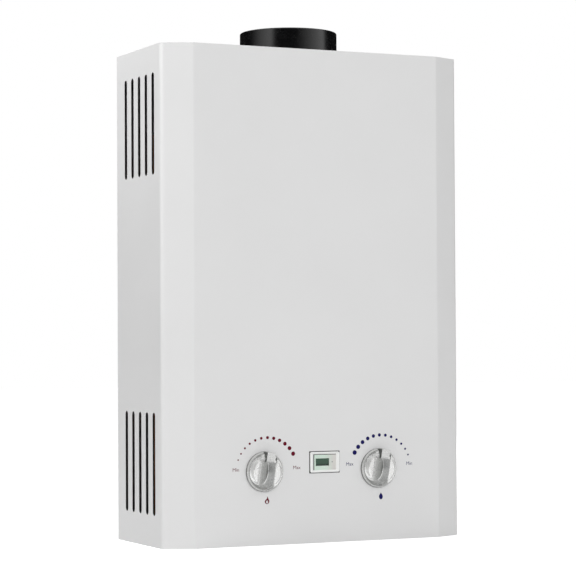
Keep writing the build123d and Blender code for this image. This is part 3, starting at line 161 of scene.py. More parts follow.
# Outside means near the side, bevel or front plane and facing out of it, or on one of the ends.
spot = split(tree, place)
facing = split(tree, add(tree, "ShaderNodeTexCoord", {}, {}).outputs["Normal"])
side = maths(tree, "SIGN", spot["X"])
beside = maths(tree, "ABSOLUTE", spot["X"])
outwards = maths(tree, "MULTIPLY", facing["X"], side)
plan = add(tree, "ShaderNodeCombineXYZ", {}, {"X": beside, "Y": spot["Y"]})
aspect = add(tree, "ShaderNodeCombineXYZ", {}, {"X": outwards, "Y": facing["Y"]})
far = maths(tree, "ABSOLUTE", maths(tree, "SUBTRACT", spot["Z"], CASE_TOP / 2))
outside_mask = maths(tree, "GREATER_THAN", far, CASE_TOP / 2 - END_SHARE)
for normal, reach in (
    ((1, 0, 0), CASE_HALF),
    ((0, -1, 0), CASE_DEPTH),
    (BEVEL_NORMAL, BEVEL_NORMAL.dot(BEVEL_SPOT)),
):
    along = [
        add(tree, "ShaderNodeVectorMath", {"operation": "DOT_PRODUCT"}, {0: vector.outputs["Vector"], 1: normal})
        for vector in (plan, aspect)
    ]
    near = maths(tree, "GREATER_THAN", along[0].outputs["Value"], reach - SHEET_SHARE)
    faced = maths(tree, "GREATER_THAN", along[1].outputs["Value"], 0.5)
    outside_mask = maths(tree, "MAXIMUM", outside_mask, maths(tree, "MULTIPLY", near, faced))
# Inside faces get a near-black painted shade instead of the light enamel colour, so the vent slots look black.
colour_with_painted_shade = mix(tree, outside_mask, linear("111212"), colour)
gloss = remap(tree, cloud, 0.3, 0.7, 0.33, 0.41)
bump = dent(tree, peel, 0.18, 0.04)
shade(tree, {"Base Color": colour_with_painted_shade, "Roughness": gloss, "Normal": bump, "Coat Weight": 0.15, "Coat Roughness": 0.25})
paint_nodes("case_enamel", enamel)


# ---------------------------------------------------------------- back plate, draft hood and brackets
# Inner sheet-metal work: the wall panel with its ribs, the hood over the exchanger and the small brackets.
# All of it is cut and folded from hot-dip galvanised strip and left bare.

# Galvanised steel: dull zinc crystals of about 6 mm that catch the light one by one.
zinc, tree, place = start_material("galvanised_steel_strip")
crystals = {"Vector": place, "Scale": per_mm(6), "Randomness": 1.0}
spangle = add(tree, "ShaderNodeTexVoronoi", {"feature": "F1"}, crystals)
grain = noise(tree, place, 1.2, 4.0)
crystal = add(tree, "ShaderNodeSeparateColor", {}, {"Color": spangle.outputs["Color"]})
colour = mix(tree, crystal.outputs["Red"], linear("B3B7BA"), linear("C6CACD"))
gloss = remap(tree, crystal.outputs["Green"], 0, 1, 0.44, 0.54)
bump = dent(tree, grain, 0.2, 0.05)
shade(tree, {"Base Color": colour, "Metallic": 0.9, "Roughness": gloss, "Normal": bump})
paint_nodes("galvanised_steel", zinc)


# ---------------------------------------------------------------- flue collar
# Deep-drawn steel spigot with a square flange, screwed down on top of the case; the flue duct slips over it.
# Its upper edge is rolled in, and the whole piece is dipped in black vitreous enamel.

COLLAR_R = 44.5 * MM
COLLAR_WALL = 1.2 * MM
RIM_W = 2.4 * MM  # over the rolled edge
SPIN_STEPS = 128


def finish_piece(bm, name, body, material, smooth_angle=35):
    """Closes a bmesh into an object that rides on a body, shaded smooth up to an angle in degrees."""
    mesh = bpy.data.meshes.new(name)
    bm.to_mesh(mesh)
    bm.free()
    mesh.shade_smooth()
    mesh.set_sharp_from_angle(angle=math.radians(smooth_angle))
    mesh.materials.append(material)
    piece = bpy.data.objects.new(name, mesh)
    bpy.context.scene.collection.objects.link(piece)
    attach(piece, body)
    return piece


def chain(bm, points):
    """Open line of edges through points."""
    verts = [bm.verts.new(p) for p in points]
    edges = [bm.edges.new(pair) for pair in zip(verts, verts[1:])]
    return verts + edges


def spin_section(bm, section, centre, steps):
    """Turns a half section of radii and heights round an upright axis and closes the seam and the poles."""
    geom = chain(bm, [(centre[0] + r, centre[1], z) for r, z in section])
    bmesh.ops.spin(
        bm, geom=geom, cent=centre, axis=(0, 0, 1), angle=2 * math.pi, steps=steps, use_merge=True
    )
    bmesh.ops.remove_doubles(bm, verts=bm.verts, dist=1e-7)
    bmesh.ops.recalc_face_normals(bm, faces=bm.faces)


def only_verts(geom):
    """The vertices among what an operator returned."""
    return [item for item in geom if isinstance(item, bmesh.types.BMVert)]


# Vitreous enamel: deep black glass fused to steel, with a slight ripple and pin-prick texture.
glaze, tree, place = start_material("vitreous_enamel_black")
ripple = noise(tree, place, 7, 3.0)
gloss = remap(tree, ripple, 0.3, 0.7, 0.2, 0.3)
bump = dent(tree, ripple, 0.15, 0.05)
colour = mix(tree, ripple, linear("020203"), linear("060607"))
shade(tree, {"Base Color": colour, "Roughness": gloss, "Coat Weight": 1.0, "Coat Roughness": 0.2, "Normal": bump})
paint_nodes("flue_enamel", glaze)

collar_lo, collar_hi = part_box("flue_collar")
collar_axis = (collar_lo + collar_hi) / 2
collar_axis.z = 0
rim_r = RIM_W / 2
rim = [
    (COLLAR_R - rim_r + rim_r * math.cos(a), collar_hi.z - rim_r + rim_r * math.sin(a))
    for a in [math.radians(t) for t in range(0, 181, 15)]
]
section = [(COLLAR_R, collar_lo.z), *rim, (COLLAR_R - COLLAR_WALL, collar_hi.z - RIM_W)]
section += [(COLLAR_R - COLLAR_WALL, collar_lo.z), (COLLAR_R, collar_lo.z)]
bm = bmesh.new()
spin_section(bm, section, collar_axis, SPIN_STEPS)
# The flange is a plate between a square and the foot of the wall.
flange_half = (collar_hi.x - collar_lo.x) / 2
flange_z = [v.co.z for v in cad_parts["flue_collar"].data.vertices if abs(v.co.x) > flange_half * 0.99]
plate = bmesh.ops.create_circle(bm, segments=SPIN_STEPS, radius=COLLAR_R - COLLAR_WALL / 2)["verts"]
outer = bmesh.ops.create_circle(bm, segments=SPIN_STEPS, radius=flange_half)["verts"]
for v in outer:
    v.co *= flange_half / max(abs(v.co.x), abs(v.co.y))
loops = [e for e in bm.edges if all(v in plate for v in e.verts) or all(v in outer for v in e.verts)]
strip = bmesh.ops.bridge_loops(bm, edges=loops)["faces"]
bmesh.ops.translate(bm, verts=plate + outer, vec=(collar_axis.x, collar_axis.y, min(flange_z)))
risen = bmesh.ops.extrude_face_region(bm, geom=strip)["geom"]
bmesh.ops.translate(bm, verts=only_verts(risen), vec=(0, 0, max(flange_z) - min(flange_z)))
bmesh.ops.recalc_face_normals(bm, faces=bm.faces)
collar = finish_piece(bm, "flue_collar_enamelled", "case", glaze)
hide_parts("flue_collar")


# ---------------------------------------------------------------- heat exchanger and chamber
# Fin block, tubes, shell and combustion chamber, brazed together from copper sheet and tube.
# The chamber is wrapped by the cold pipe, which cools its walls.


def ramp(tree, share, first, last, *between):
    """Colour from stops of position and sRGB hex colour; the first and last bound the others."""
    made = add(tree, "ShaderNodeValToRGB", {}, {"Fac": share})
    for stop, (position, code) in zip(made.color_ramp.elements, (first, last)):
        stop.position = position
        stop.color = linear(code)
    for position, code in between:
        made.color_ramp.elements.new(position).color = linear(code)
    return made.outputs["Color"]


# Brazed copper: bright where rolled, browned and faintly purple where it has been hot.
copper, tree, place = start_material("brazed_copper")
heat = noise(tree, place, 35, 5.0)
scuff = noise(tree, place, 3, 6.0)
colour = ramp(tree, heat, (0.35, "9C5C44"), (0.62, "C4845C"), (0.48, "B3704C"))
gloss = remap(tree, scuff, 0.3, 0.7, 0.28, 0.46)
bump = dent(tree, scuff, 0.2, 0.05)
shade(tree, {"Base Color": colour, "Metallic": 1.0, "Roughness": gloss, "Normal": bump})
paint_nodes("exchanger_copper", copper)


# ---------------------------------------------------------------- burner
# Pressed stainless-steel blades in a stainless frame, fed by a row of jets on an aluminium rail.
# The blades are spot-welded pairs of pressings; the rail is extruded and drilled.

TINT_HEIGHTS = (0.19, 0.224)  # where the heat tint starts and ends


def stretch(tree, place, scale):
    """Place scaled along each axis, so that a pattern read from it is drawn out."""
    return add(tree, "ShaderNodeMapping", {}, {"Vector": place, "Scale": scale}).outputs["Vector"]


# Stainless pressings: fine vertical draw lines, straw and blue heat tint towards the flame.
stainless, tree, place = start_material("heat_tinted_stainless")
draw = noise(tree, stretch(tree, place, (1.0, 1.0, 0.06)), 1.5, 3.0)
warm = remap(tree, split(tree, place)["Z"], *TINT_HEIGHTS)
colour = ramp(tree, warm, (0.0, "A9A8A4"), (1.0, "4F5A78"), (0.6, "A88A58"), (0.82, "7C5A5E"))
gloss = remap(tree, draw, 0.3, 0.7, 0.28, 0.42)
bump = dent(tree, draw, 0.15, 0.04)
shade(tree, {"Base Color": colour, "Metallic": 1.0, "Roughness": gloss, "Normal": bump})
paint_nodes("burner_steel", stainless)

# Extruded aluminium: satin, with die lines along the rail's length.
rail, tree, place = start_material("extruded_aluminium")
die = noise(tree, stretch(tree, place, (0.03, 1.0, 1.0)), 0.9, 4.0)
colour = mix(tree, die, linear("AEB1B4"), linear("C9CCCE"))
bump = dent(tree, die, 0.2, 0.03)
shade(tree, {"Base Color": colour, "Metallic": 1.0, "Roughness": 0.38, "Normal": bump})
paint_nodes("rail_aluminium", rail)


# ---------------------------------------------------------------- gas and water valves
# The gas valve is a die-cast aluminium body, the water valve a hot-forged brass one with a rubber diaphragm.
# A solenoid sits on the end of the gas valve, and a steel rod passes from one body to the other.

# Die-cast aluminium: matt, slightly grainy skin with darker flow marks.
casting, tree, place = start_material("die_cast_aluminium")
skin = noise(tree, place, 1.4, 5.0)
flow = noise(tree, place, 22, 2.0)
colour = mix(tree, flow, linear("8F9294"), linear("B4B7B8"))
bump = dent(tree, skin, 0.35, 0.08)
shade(tree, {"Base Color": colour, "Metallic": 0.9, "Roughness": 0.52, "Normal": bump})
paint_nodes("valve_casting", casting)

# Forged and machined brass: warm yellow, a little browned, with fine tool marks.
brass, tree, place = start_material("machined_brass")
tarnish = noise(tree, place, 9, 4.0)
cut = noise(tree, stretch(tree, place, (0.15, 0.15, 1.0)), 0.7, 2.0)
colour = mix(tree, tarnish, linear("9C7A38"), linear("D2AE5E"))
gloss = remap(tree, tarnish, 0.3, 0.7, 0.42, 0.26)
bump = dent(tree, cut, 0.2, 0.03)
shade(tree, {"Base Color": colour, "Metallic": 1.0, "Roughness": gloss, "Normal": bump})
paint_nodes("valve_brass", brass)

# Moulded nitrile rubber: near black and matt, with a bloom of talc.
rubber, tree, place = start_material("nitrile_rubber")
talc = noise(tree, place, 4, 6.0)
colour = mix(tree, talc, linear("161617"), linear("2E2E30"))
bump = dent(tree, talc, 0.25, 0.05)
shade(tree, {"Base Color": colour, "Roughness": 0.72, "Normal": bump})
paint_nodes("diaphragm_rubber", rubber)

# Zinc-plated steel of the solenoid case: pale, with a yellow to blue passivation sheen.
plated, tree, place = start_material("zinc_plated_steel")
sheen = noise(tree, place, 12, 3.0)
colour = mix(tree, sheen, linear("A7ABB4"), linear("C6C2A8"))
bump = dent(tree, sheen, 0.1, 0.05)
shade(tree, {"Base Color": colour, "Metallic": 1.0, "Roughness": 0.3, "Normal": bump})
paint_nodes("coil_steel", plated)


# ---------------------------------------------------------------- connectors
# Brass nipples with a pipe thread below and a hexagon above, one each for gas, cold and hot water.
# They are turned from hexagonal bar, and the thread is cut with a die.

THREAD_R = 10.48 * MM
THREAD_PITCH = 1.814 * MM
THREAD_DEPTH = 1.0 * MM
THREAD_STEPS = 40  # in one turn
THREAD_HALF = 0.42  # half of a rib's foot, as a share of the pitch
THREAD_ROOT = 0.05 * MM  # how far the rib reaches into the core
THREAD_FROM = 0.7 * MM  # above the end of the nipple
THREAD_LIFT = 0.4 * MM  # of the rib's middle over that
THREAD_SHORT = 1.2 * MM  # bare core that is left in all
HEX_H = 8.0 * MM
HEX_BEVEL = 0.8 * MM
NIPPLE_EASE = 0.6 * MM  # chamfer at the end
NIPPLE_INSET = 0.02 * MM  # of its end, within the CAD part's
BORE = 12.0 * MM


def round_edges(bm, edges, width, segments):
    """Rounds edges by that width."""
    bmesh.ops.bevel(
        bm,
        geom=edges,
        offset=width,
        offset_type="OFFSET",
        segments=segments,
        profile=0.5,
        affect="EDGES",
        material=-1,
    )


for name in ("gas_inlet", "cold_inlet", "hot_outlet"):
    lo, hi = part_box(f"{name}_connector")
    centre = (lo + hi) / 2
    hex_foot = hi.z - HEX_H
    foot = lo.z + NIPPLE_INSET
    root_r = THREAD_R - THREAD_DEPTH
    bm = bmesh.new()
    # The hexagon stands on a core that is drilled through.
    across = (hi.x - lo.x) / 2
    corner_r = max(across, (hi.y - lo.y) / 2)
    turn = 0.0 if across >= (hi.y - lo.y) / 2 else math.pi / 6
    bmesh.ops.create_cone(
        bm,
        cap_ends=True,
        segments=6,
        radius1=corner_r,
        radius2=corner_r,
        depth=hi.z - hex_foot,
        matrix=Matrix.Translation((centre.x, centre.y, (hi.z + hex_foot) / 2)) @ Matrix.Rotation(turn, 4, "Z"),
    )
    round_edges(bm, [e for f in bm.faces if abs(f.normal.z) > 0.9 for e in f.edges], HEX_BEVEL, 2)
    section = [
        (BORE / 2, foot),
        (root_r - NIPPLE_EASE, foot),
        (root_r, lo.z + NIPPLE_EASE),
        (root_r, hex_foot),
        (BORE / 2, hex_foot),
        (BORE / 2, foot),
    ]
    spin_section(bm, section, centre, THREAD_STEPS)
    # The thread is a triangular rib wound round the core.
    turns = int((hex_foot - lo.z - THREAD_SHORT) / THREAD_PITCH)
    start = lo.z + THREAD_FROM
    rib = [(root_r - THREAD_ROOT, -THREAD_HALF), (THREAD_R, 0.0), (root_r - THREAD_ROOT, THREAD_HALF)]
    geom = chain(bm, [(centre.x + r, centre.y, start + share * THREAD_PITCH + THREAD_LIFT) for r, share in rib])
    bmesh.ops.spin(
        bm,
        geom=geom,
        cent=centre,
        axis=(0, 0, 1),
        dvec=(0, 0, THREAD_PITCH / THREAD_STEPS),
        angle=2 * math.pi * turns,
        steps=THREAD_STEPS * turns,
    )
    bmesh.ops.recalc_face_normals(bm, faces=bm.faces)
    nipple = finish_piece(bm, f"{name}_nipple", "case", brass)
    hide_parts(f"{name}_connector")


# ---------------------------------------------------------------- knobs
# Two alike: a round skirt with a domed grip, scooped on both sides so that a ridge stays, with a flat pointer.
# Injection-moulded ABS with bright chrome plating, pushed on to the flats of the valve spindles.

KNOB_TURN = math.radians(-9)  # of the pointer, clockwise from upright
KNOB_VOXEL = 0.3 * MM
KNOB_R = 17.7 * MM
SHOULDER_R = 12.6 * MM  # where the shoulder starts to slope down
SHOULDER_TOP = 6.9 * MM
SKIRT_H = 1.6 * MM
DOME_R = 15.9 * MM
DOME_FOOT = 4.0 * MM
DOME_RISE = 12.3 * MM
DOME_STEPS = 16
SCOOP_R = 13.0 * MM
SCOOP_SIDE = 16.45 * MM  # from the knob's axis
SCOOP_HEIGHT = 17.13 * MM
END_CUT = (15 * MM, 12 * MM, 20 * MM)
END_CUT_FROM = 8.5 * MM  # from the knob's axis
END_CUT_FLOOR = 4.8 * MM
POINTER = (8.0 * MM, 13.1 * MM, 10.3 * MM)
POINTER_SPOT = (0, 10.55 * MM, 5.65 * MM)
DARK_STRIP_FROM, DARK_STRIP_FULL = 11.1 * MM, 12.0 * MM  # height over the cover of the darker strip of painted reflection

# Satin chrome on plastic: a soft silver, half sheen and half matt. Its colour carries painted reflection: near
# white where the surface faces forward, grey to dark grey where the sides fall away steeply, and a darker grey strip
# along the top of the grip.
chrome, tree, place = start_material("satin_chrome")
haze = noise(tree, place, 4, 4.0)
gloss = remap(tree, haze, 0.3, 0.7, 0.24, 0.31)
slope = split(tree, add(tree, "ShaderNodeTexCoord", {}, {}).outputs["Normal"])
level = maths(tree, "ABSOLUTE", slope["Y"])
# Painted reflection and highlight: colour set by how far the surface faces forward, dark on the steep sides.
painted_reflection_tone = ramp(tree, level, (0.17, "5C5E5C"), (0.76, "FCFCFB"), (0.32, "A2A3A1"), (0.66, "B2B3B1"))
# Painted reflection: a darker grey strip along the top of the grip, with unchanged roughness.
raised = remap(tree, split(tree, place)["Y"], -CASE_DEPTH - DARK_STRIP_FROM, -CASE_DEPTH - DARK_STRIP_FULL)
flat = remap(tree, maths(tree, "ABSOLUTE", slope["X"]), 0.4, 0.28)
painted_reflection_strip = maths(tree, "MULTIPLY", raised, flat)
colour = mix(tree, painted_reflection_strip, painted_reflection_tone, linear("A2A3A2"))
shade(tree, {"Base Color": colour, "Metallic": 0.6, "Roughness": gloss})
paint_nodes("knob_chrome", chrome)


def loose_object(bm, name):
    """Object for a bmesh that is only used to cut or join."""
    mesh = bpy.data.meshes.new(name)
    bm.to_mesh(mesh)
    bm.free()
    tool = bpy.data.objects.new(name, mesh)
    bpy.context.scene.collection.objects.link(tool)
    return tool


def add_block(bm, size, spot):
    """Adds a block of that size round a spot and returns its corners."""
    corners = bmesh.ops.create_cube(bm, size=1.0)["verts"]
    bmesh.ops.scale(bm, verts=corners, vec=size)
    bmesh.ops.translate(bm, verts=corners, vec=spot)
    return corners


def loose_block(name, size, spot):
    """Block that is only used to cut or join."""
    bm = bmesh.new()
    add_block(bm, size, spot)
    return loose_object(bm, name)


def combine(target, tool, operation):
    """Joins a closed form to the target or cuts it away, once the target's mesh is applied."""
    joint = target.modifiers.new(tool.name, "BOOLEAN")
    joint.object = tool
    joint.operation = operation
    joint.solver = "EXACT"
    return joint


def applied_mesh(tool):
    """Mesh of an object with its modifiers applied."""
    graph = bpy.context.evaluated_depsgraph_get()
    return bpy.data.meshes.new_from_object(tool.evaluated_get(graph))


# The knob is built lying on its back, its axis along Z and its pointer along Y: a dome on a skirt with a sloping
# shoulder. The scoops meet the dome in long curved edges that no bevel follows, so the parts are joined,
# remeshed finely and smoothed.
cap_r = (DOME_R**2 + DOME_RISE**2) / (2 * DOME_RISE)
cap_turns = [math.asin(DOME_R / cap_r) * i / DOME_STEPS for i in range(DOME_STEPS + 1)]
cap = [(cap_r * math.sin(a), DOME_FOOT + DOME_RISE - cap_r + cap_r * math.cos(a)) for a in cap_turns]
bm = bmesh.new()
spin_section(bm, [*cap, (DOME_R, DOME_FOOT / 2), (0, DOME_FOOT / 2)], (0, 0, 0), SPIN_STEPS)
blank = loose_object(bm, "knob_blank")

skirt_line = [(0, SHOULDER_TOP), (SHOULDER_R, SHOULDER_TOP), (KNOB_R, SKIRT_H), (KNOB_R, 0), (0, 0)]
bm = bmesh.new()
spin_section(bm, skirt_line, (0, 0, 0), SPIN_STEPS)
skirt = loose_object(bm, "knob_skirt")

bm = bmesh.new()
for side in (-1, 1):
    # A round bar along the grip cuts a steep flank and a shallow floor.
    bar = Matrix.Translation((side * SCOOP_SIDE, 0, SCOOP_HEIGHT)) @ Matrix.Rotation(math.pi / 2, 4, "X")
    bmesh.ops.create_cone(
        bm, cap_ends=True, segments=SPIN_STEPS, radius1=SCOOP_R, radius2=SCOOP_R, depth=60 * MM, matrix=bar
    )
scoops = loose_object(bm, "knob_scoops")

end_cut_spot = (0, END_CUT_FROM + END_CUT[1] / 2, END_CUT_FLOOR + END_CUT[2] / 2)
end_cut = loose_block("knob_end_cut", END_CUT, end_cut_spot)
pointer = loose_block("knob_pointer", POINTER, POINTER_SPOT)

for tool, operation in ((scoops, "DIFFERENCE"), (end_cut, "DIFFERENCE"), (skirt, "UNION"), (pointer, "UNION")):
    combine(blank, tool, operation)
remesh = blank.modifiers.new("remesh", "REMESH")
remesh.mode = "VOXEL"
remesh.voxel_size = KNOB_VOXEL
soften = blank.modifiers.new("soften", "SMOOTH")
soften.factor = 0.5
soften.iterations = 7
knob_form = applied_mesh(blank)
for tool in (blank, scoops, end_cut, skirt, pointer):
    bpy.data.objects.remove(tool)

for name, body in (("flame_knob", "flame_control"), ("water_knob", "water_control")):
    lo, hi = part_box(name)
    bm = bmesh.new()
    bm.from_mesh(knob_form)
    stand = Matrix.Translation(((lo.x + hi.x) / 2, hi.y, (lo.z + hi.z) / 2))
    stand = stand @ Matrix.Rotation(math.pi / 2, 4, "X") @ Matrix.Rotation(KNOB_TURN, 4, "Z")
    bmesh.ops.transform(bm, matrix=stand, verts=bm.verts)
    knob = finish_piece(bm, f"{name}_chromed", body, chrome, smooth_angle=75)
    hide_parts(name)
bpy.data.meshes.remove(knob_form)


# ---------------------------------------------------------------- display
# A small liquid-crystal thermometer: white frame clipped into the cover, a pale face plate and a dark glass.
# The frame is moulded ABS with a rounded edge; the face is printed film on polycarbonate.

FRAME_CORNER = 1.6 * MM
FRAME_EDGE = 0.8 * MM
WINDOW_SPLAY = 1.3 * MM  # how much wider the window is at the front
WINDOW_DEPTH = 40 * MM  # of the block that cuts it
SPLAY_LIFT = 0.01 * MM  # the block that cuts the slope stands clear of the front
SLEEVE_WALL = 1.5 * MM
SHADOW_LINE_WIDTH = 0.6 * MM
SHADOW_LINE_LIFT = 0.2 * MM
PAINTED_SHADOW_LIFT = 0.04 * MM
PAINTED_SHADOW_LEFT, PAINTED_SHADOW_TOP = 0.8 * MM, 0.5 * MM  # widths of the painted shadow along the film's edges
LCD_BAND = (68.4 * MM, 71.5 * MM)  # heights between which the glass gets lighter
FILM_FADE = (5 * MM, 13 * MM)  # from the pale green to the grey of the film

# White ABS: glossy mould finish, the faintest flow variation.
white_abs, tree, place = start_material("white_abs")
flow = noise(tree, place, 5, 2.0)
colour = mix(tree, flow, linear("E9EAE8"), linear("EFF0EF"))
bump = dent(tree, flow, 0.08, 0.03)
shade(tree, {"Base Color": colour, "Roughness": 0.28, "Normal": bump})
paint_nodes("bezel_plastic", white_abs)

# Face film: pale green on the left, greyer towards the sensor dot on the right, very fine grain.
film, tree, place = start_material("printed_film")
fade = remap(tree, split(tree, place)["X"], *FILM_FADE)
speck = noise(tree, place, 0.8, 2.0)
colour = mix(tree, fade, linear("CBDDD0"), linear("CDCBC7"))
bump = dent(tree, speck, 0.1, 0.02)
shade(tree, {"Base Color": colour, "Roughness": 0.4, "Normal": bump})
paint_nodes("face_plastic", film)

# Liquid-crystal glass, switched off: dark green, turning lighter green above a narrow band across it.
lcd, tree, place = start_material("lcd_glass")
band = remap(tree, split(tree, place)["Z"], *LCD_BAND, curve="SMOOTHSTEP")
colour = mix(tree, band, linear("182A20"), linear("33503F"))
shade(tree, {"Base Color": colour, "Roughness": 0.12, "IOR": 1.5})
paint_nodes("display_glass", lcd)

lo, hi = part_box("display_bezel")
face_lo, face_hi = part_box("display_face")
flange_back = -CASE_DEPTH
frame_front = lo.y
bm = bmesh.new()
# The frame is made smaller by the width of the painted shadow line round it.
frame_size = (hi.x - lo.x - 2 * SHADOW_LINE_WIDTH, flange_back - frame_front, hi.z - lo.z - 2 * SHADOW_LINE_WIDTH)
add_block(bm, frame_size, ((lo.x + hi.x) / 2, (flange_back + frame_front) / 2, (lo.z + hi.z) / 2))
corners = [e for e in bm.edges if abs((e.verts[0].co - e.verts[1].co).normalized().y) > 0.9]
round_edges(bm, corners, FRAME_CORNER, 5)
front = min(bm.faces, key=lambda f: f.calc_center_median().y)
round_edges(bm, list(front.edges), FRAME_EDGE, 4)
bmesh.ops.recalc_face_normals(bm, faces=bm.faces)
bezel_block = loose_object(bm, "bezel_block")
# Behind the cover a thin sleeve goes on to the module's snap-in seat.
window = face_hi - face_lo
window_spot = (face_lo + face_hi) / 2
sleeve = (window.x + 2 * SLEEVE_WALL, hi.y - flange_back + FRAME_EDGE, window.z + 2 * SLEEVE_WALL)
bezel_sleeve = loose_block("bezel_sleeve", sleeve, (window_spot.x, hi.y - sleeve[1] / 2, window_spot.z))
window_block = (window.x, WINDOW_DEPTH, window.z)
bezel_window = loose_block("bezel_window", window_block, (window_spot.x, frame_front, window_spot.z))
# The frame slopes inwards on all four sides, down to the face.
bm = bmesh.new()
slope_depth = face_lo.y - frame_front
shape = add_block(bm, (window.x, slope_depth, window.z), (0, 0, 0))
for v in shape:
    if v.co.y < 0:
        v.co += Vector((math.copysign(WINDOW_SPLAY, v.co.x), 0, math.copysign(WINDOW_SPLAY, v.co.z)))
bmesh.ops.translate(
    bm, verts=shape, vec=(window_spot.x, frame_front + slope_depth / 2 - SPLAY_LIFT, window_spot.z)
)
bezel_splay = loose_object(bm, "bezel_splay")
for tool, operation in ((bezel_sleeve, "UNION"), (bezel_window, "DIFFERENCE"), (bezel_splay, "DIFFERENCE")):
    combine(bezel_block, tool, operation)
bezel_form = applied_mesh(bezel_block)
for tool in (bezel_block, bezel_sleeve, bezel_window, bezel_splay):
    bpy.data.objects.remove(tool)
bm = bmesh.new()
bm.from_mesh(bezel_form)
bpy.data.meshes.remove(bezel_form)
bezel = finish_piece(bm, "display_frame", "case", white_abs)
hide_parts("display_bezel")

# A thin dark strip, in the diaphragm's rubber material, lies on the cover round the frame: a painted shadow line in
# the gap between frame and cover.
bm = bmesh.new()
shadow_line_verts = bmesh.ops.create_grid(bm, x_segments=1, y_segments=1, size=0.5)["verts"]
bmesh.ops.scale(bm, verts=shadow_line_verts, vec=(hi.x - lo.x, hi.z - lo.z, 1))
upright = Matrix.Rotation(math.pi / 2, 4, "X")
bmesh.ops.transform(bm, verts=shadow_line_verts, matrix=upright)
bmesh.ops.translate(bm, verts=shadow_line_verts, vec=((lo.x + hi.x) / 2, flange_back - SHADOW_LINE_LIFT, (lo.z + hi.z) / 2))
ring = bmesh.ops.inset_region(bm, faces=bm.faces[:], thickness=3 * SHADOW_LINE_WIDTH, use_boundary=True)["faces"]
bmesh.ops.delete(bm, geom=[f for f in bm.faces if f not in ring], context="FACES")
raised = bmesh.ops.extrude_face_region(bm, geom=bm.faces[:])["geom"]
bmesh.ops.translate(bm, verts=only_verts(raised), vec=(0, SHADOW_LINE_LIFT, 0))
bmesh.ops.recalc_face_normals(bm, faces=bm.faces)
finish_piece(bm, "display_shadow_line", "case", rubber)

# A dark strip along the film's left and upper edges is painted shadow, as if cast there by the frame.
bm = bmesh.new()
for size, x, z in (
    ((PAINTED_SHADOW_LEFT, window.z, 1), face_lo.x + PAINTED_SHADOW_LEFT / 2, window_spot.z),
    ((window.x, PAINTED_SHADOW_TOP, 1), window_spot.x, face_hi.z - PAINTED_SHADOW_TOP / 2),
):
    line = bmesh.ops.create_grid(bm, x_segments=1, y_segments=1, size=0.5)["verts"]
    bmesh.ops.scale(bm, verts=line, vec=size)
    bmesh.ops.transform(bm, verts=line, matrix=Matrix.Translation((x, face_lo.y - PAINTED_SHADOW_LIFT, z)) @ upright)
finish_piece(bm, "film_painted_shadow", "case", rubber)


# ---------------------------------------------------------------- outside screws
# Pan-head screws of zinc-plated steel: four hold the collar's flange, two on each side the lip of the cover.
# Cold-headed, with a cross recess; only the heads show, so only they are made.

SCREW_R = 3.1 * MM
SCREW_RISE = 1.2 * MM
SCREW_STEPS = 32
CROSS_ARM = (SCREW_R * 1.2, 0.9 * MM, 1.6 * MM)
FLANGE_EDGE = 6 * MM  # from a collar screw to the flange's edges
LIP_EDGE = 4.5 * MM  # from a cover screw to the side
LIP_SCREWS_Y = (-24, -96)  # mm

dome = [(SCREW_R * math.sin(a), SCREW_RISE * math.cos(a)) for a in [math.radians(t) for t in range(0, 91, 15)]]
bm = bmesh.new()
spin_section(bm, [*dome, (0, 0)], (0, 0, 0), SCREW_STEPS)
head = loose_object(bm, "screw_head")
bm = bmesh.new()
for turn in (0, math.pi / 2):
    arm = add_block(bm, CROSS_ARM, (0, 0, 0))
    bmesh.ops.rotate(bm, verts=arm, matrix=Matrix.Rotation(turn, 3, "Z"))
    bmesh.ops.translate(bm, verts=arm, vec=(0, 0, SCREW_RISE))
cross = loose_object(bm, "screw_cross")
combine(head, cross, "DIFFERENCE").use_self = True
head_form = applied_mesh(head)
bpy.data.objects.remove(head)
bpy.data.objects.remove(cross)

flange_r = flange_half - FLANGE_EDGE
on_flange = [
    (collar_axis.x + i * flange_r, collar_axis.y + j * flange_r, max(flange_z)) for i in (-1, 1) for j in (-1, 1)
]
on_lip = [(i * (CASE_HALF - LIP_EDGE), y * MM, CASE_TOP) for i in (-1, 1) for y in LIP_SCREWS_Y]
for name, spots in (("collar_screw_heads", on_flange), ("cover_screw_heads", on_lip)):
    bm = bmesh.new()
    for i, spot in enumerate(spots):
        bm.from_mesh(head_form)
        fresh = bm.verts[-len(head_form.vertices) :]
        bmesh.ops.rotate(bm, verts=fresh, matrix=Matrix.Rotation(0.5 + 1.1 * i, 3, "Z"))
        bmesh.ops.translate(bm, verts=fresh, vec=spot)
    finish_piece(bm, name, "case", plated)
bpy.data.meshes.remove(head_form)


# ---------------------------------------------------------------- printed scales
# Screen-printed marks on the enamel: an arc of growing dots over each knob, Min and Max at its ends,
# and a flame and a drop below. Crimson ink for the flame, navy for the water, baked on.

INK_LIFT = 0.03 * MM
INK_DOTS = 12
LETTERS = 4.4 * MM
FLAME_X, WATER_X = -52.1, 60.9  # mm, middle of each scale
SIGN_Z = 39.5  # mm, of the flame and the drop

# Baked printing ink: dense and slightly duller than the enamel, with soft mottling.
inks = {}
for name, dark, light in (
    ("printing_ink_crimson", "56001A", "680422"),
    ("printing_ink_navy", "0C0A46", "18165E"),
    ("printing_ink_grey", "8C918E", "9A9E9C"),
):
    ink, tree, place = start_material(name)
    mottle = noise(tree, place, 1.5, 2.0)
    colour = mix(tree, mottle, linear(dark), linear(light))
    shade(tree, {"Base Color": colour, "Roughness": 0.6, "Specular IOR Level": 0.2})
    inks[name.split("_")[-1]] = ink


def printed(x, z, face=-CASE_DEPTH):
    """Place for flat print on a face that looks forward, whose own x and y become right and up."""
    return Matrix.Translation((x * MM, face - INK_LIFT, z * MM)) @ upright


